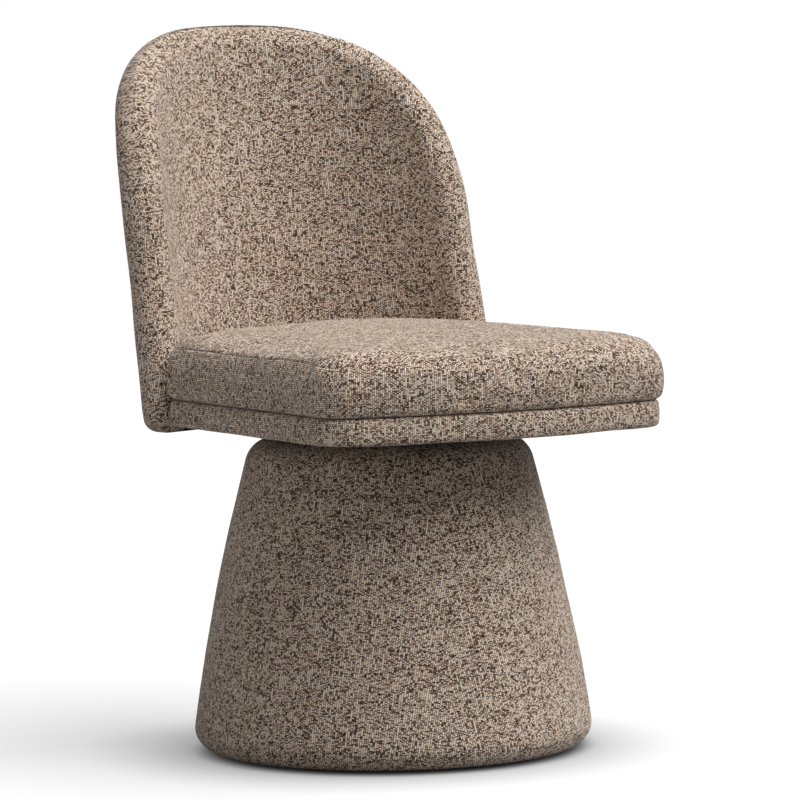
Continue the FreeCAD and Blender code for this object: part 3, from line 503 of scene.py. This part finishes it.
planLook = {
    "seatLevel": 0.3955,
    "halfWidth": 0.2145, "front": -0.246, "bow": 0.034, "bowFrom": 0.6, "cornerRadius": 0.027,
    "sideEnd": 0.127, "rearCorner": 0.016, "notch": 0.196, "notchCorner": 0.004,
    "rearRadius": 0.2015, "rearCentre": 0.0525, "rearAngle": 62, "rearSteps": 49,
    "points": 600,
    "leastReach": 0.12, "smoothings": 12,
    "innerReach": 0.24, "innerFrom": 0.06, "innerOver": 0.10,
    "leanFrom": 0.10, "leanOver": 0.12,
}
backLook = {
    "innerRadius": 0.2025, "thickness": 0.0495, "axisDepth": 0.0525, "recline": 11,
    "foot": 0.3575, "top": 0.8125, "archStart": 0.545, "archPower": 2.6,
    "footReach": 0.2815, "sideReach": 0.268, "footRounding": 0.012, "cornerRadius": 0.018,
    "seamInset": 0.021, "seamDepth": 0.0011, "seamWidth": 0.0018,
    "columns": 121, "crowding": 0.72, "tip": 0.0006, "leastShare": 0.3,
    "rows": {"foot": 9, "side": 34, "arch": 44, "rim": 22},
    "outline": {"side": 120, "arch": 400},
    "waves": ((0.0008, 0.22, 21), (0.0004, 0.08, 22)),    # height, length and seed
}
lean = math.tan(math.radians(backLook["recline"]))


def roundedPlan(corners):
    line = []
    arcPoints = 12
    count = len(corners)
    for index, (x, y, radius) in enumerate(corners):
        here = np.array((x, y))
        if radius <= 0:
            line.append(here)
            continue
        before = np.array(corners[index - 1][:2]) - here
        after = np.array(corners[(index + 1) % count][:2]) - here
        before /= np.linalg.norm(before)
        after /= np.linalg.norm(after)
        half = math.acos(np.clip(before @ after, -1, 1)) / 2
        reach = radius / math.tan(half)
        centre = here + (before + after) / np.linalg.norm(before + after) * radius / math.sin(half)
        start = here + before * reach - centre
        stop = here + after * reach - centre
        sweep = math.pi - 2 * half
        for share in np.linspace(0, 1, arcPoints):
            blend = start * math.sin((1 - share) * sweep) + stop * math.sin(share * sweep)
            line.append(centre + blend / math.sin(sweep))
    return np.array(line)


def evenly(line, count):
    closed = np.concatenate([line, line[:1]])
    run = runAlong(closed)
    places = np.linspace(0, run[-1], count, endpoint=False)
    return np.stack([np.interp(places, run, closed[:, axis]) for axis in (0, 1)], 1), run[-1]


def seatPlan(overhang, look):
    width = look["halfWidth"] + overhang
    front = look["front"] - overhang
    sideEnd, radius = look["sideEnd"], look["rearRadius"]
    corners = [
        (-width, front, look["cornerRadius"]), (width, front, look["cornerRadius"]),
        (width, sideEnd, look["rearCorner"]), (look["notch"], sideEnd, look["notchCorner"])]
    for degrees in np.linspace(look["rearAngle"], -look["rearAngle"], look["rearSteps"]):
        turn = math.radians(degrees)
        corners.append((radius * math.sin(turn), look["rearCentre"] + radius * math.cos(turn), 0))
    corners += [(-look["notch"], sideEnd, look["notchCorner"]), (-width, sideEnd, look["rearCorner"])]
    line, _ = evenly(roundedPlan(corners), look["points"] * 3)
    bowFrom = look["front"] * look["bowFrom"]
    bowed = look["bow"] * (1 - (line[:, 0] / width) ** 2)
    ease = easeIn(-line[:, 1], -bowFrom, bowFrom - look["front"]) ** 2
    line[:, 1] -= np.where(line[:, 1] < bowFrom, bowed * ease, 0)
    return evenly(line, look["points"])


def insetPlan(plan, depth):
    look = planLook
    tangent = np.roll(plan, -1, 0) - np.roll(plan, 1, 0)
    normal = np.stack([tangent[:, 1], -tangent[:, 0]], 1)
    normal /= np.linalg.norm(normal, axis=1, keepdims=True)
    reach = np.maximum((plan * normal).sum(1), look["leastReach"])
    for _ in range(look["smoothings"]):
        reach = (np.roll(reach, 1) + reach + np.roll(reach, -1)) / 3
    # further in, the rings turn into small copies of the plan, so that none of them crosses over
    reach += (look["innerReach"] - reach) * easeIn(depth, look["innerFrom"], look["innerOver"])
    return plan * (1 - depth / reach)[:, None]


def seatRings(plan, profile):
    rings = []
    for depth, height in profile:
        flat = insetPlan(plan, depth)
        rings.append(np.column_stack([flat, np.full(len(flat), height)]))
    return rings


def leanRear(rings):
    for ring in rings:
        share = easeIn(ring[:, 1], planLook["leanFrom"], planLook["leanOver"])
        ring[:, 1] += (ring[:, 2] - planLook["seatLevel"]) * lean * share


topPatch = 3.0    # how far from the side strip the top panel is cut from the cloth, in metres


def bandUvs(plan, profile, topFrom, length):
    # the side strip is laid out by its length, the top panel by how far it reaches over the edge
    count = len(plan)
    steps = [math.dist(low, high) for low, high in zip(profile[:-1], profile[1:])]
    rise = [0.0]
    for step in steps:
        rise.append(rise[-1] + step)
    spread = [profile[-1][0]]
    for step in reversed(steps):
        spread.insert(0, spread[0] - step)
    across = np.linspace(0, length, count + 1)

    def uvOf(level):
        if level >= topFrom:
            flats = [insetPlan(plan, spread[level + side]) for side in (0, 1)]
            return [np.concatenate([flat, flat[:1]]) + topPatch for flat in flats]
        return [np.column_stack([across, np.full(count + 1, rise[level + side])]) for side in (0, 1)]

    return uvOf


def turnedAtSides(plan, topFrom):
    # the cloth of the side strips lies a quarter turn from that of the front
    run = np.roll(plan, -1, 0) - plan
    sideways = np.abs(run[:, 1]) > np.abs(run[:, 0])
    return lambda level, step: level < topFrom and bool(sideways[step])


def quarterTurn(rounding, angles):
    # how far in and how high a rounded edge runs, from its flat side to its upright side
    turns = [math.radians(degrees) for degrees in angles]
    return [(rounding * (1 - math.sin(turn)), rounding * (1 - math.cos(turn))) for turn in turns]


def bulgedSide(bulge, low, high, shares):
    return [(-bulge * math.sin(math.pi * share), low + (high - low) * share) for share in shares]


# Cushion: boxed, with a top panel sewn on below a soft edge

cushionFolds = (    # from, to, rise and width of the small folds at the front corners
    ((-0.2120, -0.215, 0.4485), (-0.205, -0.262, 0.4440), 0.0016, 0.0028),
    ((-0.2165, -0.205, 0.4390), (-0.209, -0.258, 0.4340), 0.0013, 0.0026),
    ((0.2120, -0.225, 0.4485), (0.205, -0.262, 0.4440), 0.0012, 0.0028),
    ((-0.190, -0.2655, 0.4530), (-0.120, -0.276, 0.4500), -0.0007, 0.0040),
)


def foldRise(points, start, end, rise, width):
    start, end = np.array(start), np.array(end)
    run = end - start
    share = np.clip((points - start) @ run / (run @ run), 0, 1)
    away = np.linalg.norm(points - (start + share[:, None] * run), axis=1)
    return rise * np.exp(-(away / width) ** 2) * np.sin(np.pi * np.clip(share, 0.08, 0.92))


cushionLook = {
    "overhang": 0.0025, "foot": 0.0002, "footRounding": 0.009,
    "underDepths": (0.12, 0.07, 0.035, 0.018), "underHeight": 0.0008, "footAngles": (0, 18, 36, 54, 72, 90),
    "bulge": 0.0014, "sideShares": (0.2, 0.4, 0.6, 0.8),
    "shoulder": 0.038, "edgeRadius": 0.030, "seamTurn": 40.5, "seamDepth": 0.0010,
    "edgeAngles": (0, 8, 16, 24, 31, 36, 39, 40.5, 42, 45, 50, 56, 63, 71, 80, 90),
    "puff": 0.0009, "puffPower": 0.6,
    "crown": 0.0805, "crownDepth": 0.205, "crownShares": (0.06, 0.14, 0.24, 0.36, 0.50, 0.66, 0.82, 0.95),
    "stillBelow": 0.012, "stillOver": 0.008, "softOver": 0.02,
    "seamHold": 0.85, "seamBand": 0.005, "rearFrom": 0.10, "rearOver": 0.03, "cap": 0.003,
    "cornerDip": 0.005, "dipReach": 0.034, "dipHeight": 0.022,
    "waves": ((0.0007, 0.16, 3), (0.0004, 0.06, 5)),    # height, length and seed
}


def cushionProfile(look):
    profile = [(depth, look["underHeight"]) for depth in look["underDepths"]]
    rounding, radius, shoulder = look["footRounding"], look["edgeRadius"], look["shoulder"]
    profile += quarterTurn(rounding, look["footAngles"])
    profile += bulgedSide(look["bulge"], rounding, shoulder, look["sideShares"])
    seam = look["seamTurn"]
    for degrees in look["edgeAngles"]:
        turn = math.radians(degrees)
        reach = radius
        if degrees == seam:
            reach -= look["seamDepth"]
            seamLevel = len(profile)
        elif degrees > seam:
            swelling = max(math.sin(math.pi * (degrees - seam) / (90 - seam)), 0.0)
            reach += look["puff"] * swelling ** look["puffPower"]
        profile.append((radius - reach * math.cos(turn), shoulder + reach * math.sin(turn)))
    edge = profile[-1]
    for share in look["crownShares"]:
        depth = edge[0] + (look["crownDepth"] - edge[0]) * share
        profile.append((depth, edge[1] + (look["crown"] - edge[1]) * math.sin(share * math.pi / 2)))
    base = planLook["seatLevel"] + look["foot"]
    return [(depth, base + height) for depth, height in profile], seamLevel


def makeCushion(look):
    plan, length = seatPlan(look["overhang"], planLook)
    profile, seamLevel = cushionProfile(look)
    rings = seatRings(plan, profile)
    leanRear(rings)
    uvOf = bandUvs(plan, profile, seamLevel, length)
    cushion = coverRings("seatCushion", rings, uvOf, turned=turnedAtSides(plan, seamLevel))
    seamHeight = profile[seamLevel][1]
    still = planLook["seatLevel"] + look["stillBelow"]

    def hold(points):
        seamBand = look["seamHold"] * np.exp(-((points[:, 2] - seamHeight) / look["seamBand"]) ** 2)
        below = easeIn(-points[:, 2], -still, look["stillOver"])
        rear = easeIn(points[:, 1], look["rearFrom"], look["rearOver"])
        return np.clip(np.maximum(np.maximum(seamBand, below), rear), 0, 1)

    swell(cushion, swellLook, look["cap"], hold)
    points = meshPoints(cushion)
    for side in (-1, 1):    # the seam sinks where it turns the front corners
        corner = np.array((side * planLook["halfWidth"], planLook["front"]))
        away = np.linalg.norm(points[:, :2] - corner, axis=1) / look["dipReach"]
        above = (points[:, 2] - seamHeight) / look["dipHeight"]
        points[:, 2] -= look["cornerDip"] * (np.exp(-away ** 2) * np.exp(-above ** 2))
    movePoints(cushion, points)

    def softness(points):
        soft = unevenness(points, look["waves"])
        for start, end, rise, width in cushionFolds:
            soft += foldRise(points, start, end, rise, width)
        return soft * easeIn(points[:, 2], still, look["softOver"])

    pushOut(cushion, softness)
    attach(cushion, "seat")
    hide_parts("cushion_foam", "cushion_cover")


makeCushion(cushionLook)
print("cushion sewn")


# Seat rail: the padded board under the cushion

railLook = {
    "foot": 0.3655, "height": 0.0298, "rounding": 0.006, "roundAngles": (0, 22, 45, 68, 90),
    "underside": ((0.020, 0.0012), (0.016, 0.0004), (0.011, 0.0001)),    # inwards and up
    "bulge": 0.0007, "sideShares": (0.25, 0.5, 0.75), "topDepths": (0.02, 0.06, 0.14),
    "waves": ((0.0005, 0.09, 8),), "stillFrom": 0.002, "stillOver": 0.004,
}


def makeRail(look):
    plan, length = seatPlan(0.0, planLook)
    rounding, height = look["rounding"], look["height"]
    edge = quarterTurn(rounding, look["roundAngles"])
    profile = list(look["underside"]) + edge
    profile += bulgedSide(look["bulge"], rounding, height - rounding, look["sideShares"])
    profile += [(depth, height - rise) for depth, rise in reversed(edge)]
    profile += [(depth, height) for depth in look["topDepths"]]
    rings = seatRings(plan, [(depth, look["foot"] + rise) for depth, rise in profile])
    levels = len(profile)
    uvOf = bandUvs(plan, profile, levels, length)
    rail = coverRings("seatRail", rings, uvOf, turned=turnedAtSides(plan, levels))
    still = planLook["seatLevel"] - look["stillFrom"]

    def softness(points):
        return unevenness(points, look["waves"]) * easeIn(-points[:, 2], -still, look["stillOver"])

    pushOut(rail, softness)
    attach(rail, "seat")
    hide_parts("seat_rail_foam", "seat_rail_cover")


makeRail(railLook)
print("seat rail covered")


# Back: one wrapped, leaning shell of padding with a full round rim

def roundedDrop(fall, radius):
    # how much a round edge of this radius takes off, this far into the rounding
    return radius - math.sqrt(max(radius ** 2 - max(fall, 0) ** 2, 0))


def backHalfReach(height, look):
    if height <= look["archStart"]:
        share = (height - look["foot"]) / (look["archStart"] - look["foot"])
        reach = look["footReach"] + (look["sideReach"] - look["footReach"]) * share
        fall = look["foot"] + look["cornerRadius"] - height
        return reach - roundedDrop(fall, look["cornerRadius"])
    share = min((height - look["archStart"]) / (look["top"] - look["archStart"]), 1.0)
    return look["sideReach"] * (1 - share ** look["archPower"]) ** (1 / look["archPower"])


def backPoint(along, height, depth, look):
    middle = look["innerRadius"] + look["thickness"] / 2
    angle = along / middle
    radius = middle + depth
    centreY = look["axisDepth"] + (height - planLook["seatLevel"]) * lean
    level = np.broadcast_to(height, np.shape(angle))
    return np.stack([radius * np.sin(angle), centreY + radius * np.cos(angle), level], -1)


def backHeights(look):
    rows, half = look["rows"], look["thickness"] / 2
    foot = look["foot"] + look["footRounding"] * (1 - np.cos(np.linspace(0, math.pi / 2, rows["foot"])))
    side = np.linspace(foot[-1], look["archStart"], rows["side"])[1:]
    arch = np.linspace(look["archStart"], look["top"] - half, rows["arch"])[1:]
    rim = look["top"] - half * (1 - np.sin(np.linspace(0, math.pi / 2, rows["rim"])[1:-1]))
    return np.concatenate([foot, side, arch, rim, [look["top"] - half * look["tip"]]])


def backOutline(look):
    # for the distance of each point from the rim
    heights = list(np.linspace(look["foot"], look["archStart"], look["outline"]["side"]))
    for turn in np.linspace(0, math.pi / 2, look["outline"]["arch"]):
        rise = math.sin(turn) ** (2 / look["archPower"])
        heights.append(look["archStart"] + (look["top"] - look["archStart"]) * rise)
    outline = np.array([(backHalfReach(height, look), height) for height in heights])
    return np.concatenate([outline, outline[::-1] * (-1, 1)])


def makeBack(look):
    half, columns = look["thickness"] / 2, look["columns"]
    centre = columns // 2
    crowded = np.sin(np.linspace(-math.pi / 2, math.pi / 2, columns))
    spread = look["crowding"] * crowded + (1 - look["crowding"]) * np.linspace(-1, 1, columns)
    outline = backOutline(look)
    rings, uvRows = [], []
    middle = None
    rise = 0.0
    for height in backHeights(look):
        along = spread * backHalfReach(height, look)
        points = np.column_stack([along, np.full(columns, height)])
        gap = np.sqrt(((points[:, None] - outline[None]) ** 2).sum(2)).min(1)
        gap[0] = gap[-1] = 0.0
        inside = np.clip(gap / half, 0, 1)
        depth = half * np.sqrt(np.maximum(1 - (1 - inside) ** 2, 0))
        drop = roundedDrop(look["foot"] + look["footRounding"] - height, look["footRounding"])
        depth = np.maximum(depth - drop, depth * look["leastShare"])
        seam = look["seamDepth"] * np.exp(-((gap - look["seamInset"]) / look["seamWidth"]) ** 2)
        front = backPoint(along, height, -depth, look)
        rear = backPoint(along, height, depth - seam, look)[::-1]
        rings.append(np.concatenate([front, rear[1:-1]]))
        if middle is not None:
            rise += float(np.linalg.norm(front[centre] - middle))
        middle = front[centre]
        run = runAlong(front)
        run -= run[centre]
        around = np.concatenate([run, (runAlong(rear) + run[-1])[1:]])
        uvRows.append(np.column_stack([around, np.full(2 * columns - 1, rise)]))

    back = coverRings("backRest", rings, lambda level: (uvRows[level], uvRows[level + 1]))
    pushOut(back, lambda points: unevenness(points, look["waves"]))
    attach(back, "seat")
    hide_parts("back_front_cover", "back_rear_cover", "back_front_foam", "back_rear_foam")


makeBack(backLook)
print("back covered")


# Base: a padded cone, its cover sewn from three panels

baseLook = {
    "footRadius": 0.2275, "topRadius": 0.1555, "height": 0.3515, "bulge": 0.0058, "foot": 0.003,
    "underRadii": (0.160, 0.175, 0.19), "footRounding": 0.024, "footPoints": 12,
    "sideFrom": 0.05, "sideTo": 0.30, "sidePoints": 26,
    "shoulderRounding": 0.0345, "shoulderPoints": 14, "topRadii": (0.118, 0.111),
    "seamAngle": -11.6, "panels": 3, "around": 288, "seamDepth": 0.0009, "seamWidth": 0.0022,
    "patch": 1.7,    # how far apart the panels are cut from the cloth, in metres
    "waves": ((0.0006, 0.17, 31), (0.0003, 0.07, 32)),    # height, length and seed
    "stillBelow": 0.01, "stillAbove": 0.345, "softFoot": 0.03, "softTop": 0.02,
}


def baseSide(height, look):
    share = height / look["height"]
    straight = look["footRadius"] + (look["topRadius"] - look["footRadius"]) * share
    return straight + 4 * look["bulge"] * share * (1 - share)


def filletBetween(before, corner, after, radius, count):
    back = (before - corner) / np.linalg.norm(before - corner)
    ahead = (after - corner) / np.linalg.norm(after - corner)
    half = math.acos(float(back @ ahead)) / 2
    centre = corner + (back + ahead) / np.linalg.norm(back + ahead) * radius / math.sin(half)
    start = corner + back * radius / math.tan(half) - centre
    stop = corner + ahead * radius / math.tan(half) - centre
    sweep = math.pi - 2 * half
    line = []
    for share in np.linspace(0, 1, count):
        blend = start * math.sin((1 - share) * sweep) + stop * math.sin(share * sweep)
        line.append(centre + blend / math.sin(sweep))
    return line


def baseLine(look):
    foot, top = look["foot"], look["height"]

    def onSide(height):
        return np.array((baseSide(height, look), height))

    line = [np.array((radius, foot)) for radius in look["underRadii"]]
    line += filletBetween(
        line[0], onSide(foot), onSide(look["sideFrom"]), look["footRounding"], look["footPoints"])
    line += [onSide(height) for height in np.linspace(look["sideFrom"], look["sideTo"], look["sidePoints"])]
    flat = [np.array((radius, top)) for radius in look["topRadii"]]
    line += filletBetween(
        onSide(look["sideTo"]), onSide(top), flat[-1], look["shoulderRounding"], look["shoulderPoints"])
    return np.array(line + flat)


def makeBase(look):
    line = baseLine(look)
    run = runAlong(line)
    count = look["around"]
    steps = np.arange(count + 1) * 2 * math.pi / count
    angles = steps[:-1] + math.radians(look["seamAngle"])
    panel = 2 * math.pi / look["panels"]
    past = np.mod(steps[:-1], panel)
    fromSeam = np.minimum(past, panel - past)
    rings = []
    for radius, height in line:
        reach = radius - look["seamDepth"] * np.exp(-(fromSeam * radius / look["seamWidth"]) ** 2)
        rings.append(np.column_stack([reach * np.sin(angles), -reach * np.cos(angles), np.full(count, height)]))

    # each panel is cut flat from the cloth, so its weave lines up with its own middle
    narrowing = look["footRadius"] - look["topRadius"]
    spread = narrowing / math.hypot(look["height"], narrowing)
    farRadius = look["footRadius"] / spread
    panelOf = np.minimum((steps[:-1] // panel).astype(int), look["panels"] - 1)

    def flatUv(level, angle, number):
        reach = farRadius - run[level]
        turn = (angle - (number + 0.5) * panel) * spread
        return (reach * math.sin(turn) + number * look["patch"], -reach * math.cos(turn))

    faces, uvs = [], []
    for level in range(len(rings) - 1):
        for step in range(count):
            number = panelOf[step]
            faces.append(bandFace(level, step, count))
            for row, column in ((0, 0), (0, 1), (1, 1), (1, 0)):
                uvs.append(flatUv(level + row, steps[step + column], number))
    base = newPiece("baseCover", np.concatenate(rings), faces, uvs)

    def softness(points):
        height = points[:, 2]
        low = easeIn(height, look["stillBelow"], look["softFoot"])
        high = easeIn(-height, -look["stillAbove"], look["softTop"])
        return unevenness(points, look["waves"]) * (low * high)

    pushOut(base, softness)
    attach(base, "base")
    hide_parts("base_cover", "base_foam")


makeBase(baseLook)
print("base covered")


# Black dust cloths under the base and the seat, stapled round their edges

dustLook = {
    "baseRadius": 0.1595, "baseMiddle": 0.001, "baseLevel": 0.0047, "around": 180,
    "seatInset": 0.0185, "seatLevel": 0.3671, "seatOpening": 0.1036, "seatEvery": 3,
    "rings": 13, "sag": 0.0004, "sagWaves": ((0.5, 0.11, 41),),
}
stapleLook = {
    "wire": (0.0100, 0.0011, 0.0006),    # length, width and thickness
    "edge": 0.006, "spacing": 0.034, "wander": 0.2, "wanderStep": 2.4, "below": 0.0002,
    "sections": ((-0.5, 0.0006), (-0.46, 0.0), (0.46, 0.0), (0.5, 0.0006)),    # its ends bend up into the wood
    "corners": ((-0.5, 0), (0.5, 0), (0.35, -1), (-0.35, -1)),
}


def makeSheet(name, inner, outer, level, body, node, look):
    rings = []
    for share in np.linspace(0, 1, look["rings"]):
        flat = inner + (outer - inner) * share
        ring = np.column_stack([flat, np.full(len(flat), level)])
        ring[:, 2] -= look["sag"] * math.sin(math.pi * share) * (1 + unevenness(ring, look["sagWaves"]))
        rings.append(ring)
    count = len(inner)
    faces = [bandFace(ring, step, count) for ring in range(len(rings) - 1) for step in range(count)]
    points = np.concatenate(rings)
    uvs = [points[index][:2] for face in faces for index in face]
    sheet = newPiece(name, points, faces, uvs, slotMaterials["dust_cloth"])
    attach(sheet, body)
    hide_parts(node)
    return sheet


def makeStaples(name, outer, clothLevel, body, look):
    line, _ = evenly(outer, int(outerLength(outer) / look["spacing"]))
    level = clothLevel - look["below"]
    wide, thin, high = look["wire"]
    sides = len(look["corners"])
    ends = len(look["sections"]) - 1
    points, faces = [], []
    for index, place in enumerate(line):
        along = line[(index + 1) % len(line)] - line[index - 1]
        along /= np.linalg.norm(along)
        inward = np.array((-along[1], along[0]))
        wander = 1 + look["wander"] * math.sin(index * look["wanderStep"])
        centre = place + inward * look["edge"] * wander
        first = len(points)
        for share, lift in look["sections"]:
            for width, depth in look["corners"]:
                flat = centre + along * wide * share + inward * thin * width
                points.append((*flat, level + lift + depth * high))
        for section in range(ends):
            for corner in range(sides):
                faces.append(tuple(first + number for number in bandFace(section, corner, sides)))
        faces.append(tuple(first + corner for corner in reversed(range(sides))))
        faces.append(tuple(first + ends * sides + corner for corner in range(sides)))
    uvs = [points[index][:2] for face in faces for index in face]
    staples = newPiece(name, points, faces, uvs, slotMaterials["bolt_steel"])
    staples.data.polygons.foreach_set("use_smooth", [False] * len(staples.data.polygons))
    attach(staples, body)
    return staples


def outerLength(line):
    return float(np.linalg.norm(np.roll(line, -1, 0) - line, axis=1).sum())


def makeDustCloths(look):
    turns = np.arange(look["around"]) * 2 * math.pi / look["around"]
    circle = np.column_stack([np.sin(turns), -np.cos(turns)])
    radius, level = look["baseRadius"], look["baseLevel"]
    outer = circle * radius
    inner = circle * look["baseMiddle"]
    sheet = makeSheet("baseDustCloth", inner, outer, level, "base", "base_dust_cover", look)
    staples = makeStaples("baseStaples", outer, level, "base", stapleLook)

    plan, _ = seatPlan(0.0, planLook)
    level = look["seatLevel"]
    outer = insetPlan(plan, look["seatInset"])[::look["seatEvery"]]
    inner = outer / np.linalg.norm(outer, axis=1, keepdims=True) * look["seatOpening"]
    sheet = makeSheet("seatDustCloth", inner, outer, level, "seat", "seat_dust_cover", look)
    staples = makeStaples("seatStaples", outer, level, "seat", stapleLook)


makeDustCloths(dustLook)
print("dust cloths stapled")


# Studio: pale floor, one large soft light from above the front right, and an even sky

studioLook = {
    "towardsLight": (0.50, -0.41, 1.0), "sun": 4.35, "sunAngle": 65,
    "sky": 0.12, "skyLeft": 0.38,
    "floorGlow": 0.56, "floorSeen": 0.38, "floorAround": 0.30, "floorSize": 14.0, "floorRoughness": 0.9,
    # painted contact shade on the floor: its reach and its number of rays are given last
    "glowTint": (0.99, 0.985, 1.0, 1.0), "paintedContactShade": 0.14, "contactRays": 12,
}


def seenDirectly(tree):
    path = addNode(tree, "ShaderNodeLightPath")
    share = maths(tree, "MAXIMUM", path.outputs["Is Camera Ray"], path.outputs["Is Glossy Ray"])
    return maths(tree, "MAXIMUM", share, path.outputs["Is Transmission Ray"])


def makeStudio(look):
    sun = bpy.data.lights.new("softLight", "SUN")
    sun.energy = look["sun"]
    sun.angle = math.radians(look["sunAngle"])
    lamp = bpy.data.objects.new("softLight", sun)
    scene.collection.objects.link(lamp)
    lamp.rotation_mode = "QUATERNION"
    lamp.rotation_quaternion = Vector(look["towardsLight"]).to_track_quat("Z", "Y")

    world = bpy.data.worlds.new("studio")
    scene.world = world
    world.use_nodes = True
    tree = world.node_tree
    split = addNode(tree, "ShaderNodeSeparateXYZ")
    tree.links.new(addNode(tree, "ShaderNodeTexCoord").outputs["Generated"], split.inputs[0])
    left = maths(tree, "MAXIMUM", maths(tree, "MULTIPLY", split.outputs[0], -1.0), 0.0)
    sky = maths(tree, "ADD", look["sky"], maths(tree, "MULTIPLY", left, look["skyLeft"]))
    colour = blendColours(tree, seenDirectly(tree), pair(tree, sky, sky, sky), (1.0, 1.0, 1.0))
    tree.links.new(colour, tree.nodes["Background"].inputs["Color"])

    half = look["floorSize"] / 2
    mesh = bpy.data.meshes.new("floor")
    corners = [(-half, -half, 0), (half, -half, 0), (half, half, 0), (-half, half, 0)]
    mesh.from_pydata(corners, [], [(0, 1, 2, 3)])
    floor = bpy.data.objects.new("floor", mesh)
    scene.collection.objects.link(floor)
    material, tree, shader = newMaterial("paleFloor", look["floorRoughness"], Specular_IOR_Level=0.0)
    direct = seenDirectly(tree)
    # painted contact shade: ambient occlusion darkens the floor's seen colour and its glow near the chair
    paintedContactShade = addNode(tree, "ShaderNodeAmbientOcclusion", samples=look["contactRays"])
    paintedContactShade.inputs["Distance"].default_value = look["paintedContactShade"]
    near = paintedContactShade.outputs["AO"]
    shade = maths(tree, "MULTIPLY", near, look["floorSeen"])
    colour = blendColours(tree, direct, (look["floorAround"],) * 3, pair(tree, shade, shade, shade))
    tree.links.new(colour, shader.inputs["Base Color"])
    shader.inputs["Emission Color"].default_value = look["glowTint"]
    glow = maths(tree, "MULTIPLY", maths(tree, "MULTIPLY", direct, look["floorGlow"]), near)
    tree.links.new(glow, shader.inputs["Emission Strength"])
    mesh.materials.append(material)


makeStudio(studioLook)
scene.view_settings.view_transform = "Standard"
print("studio lit")
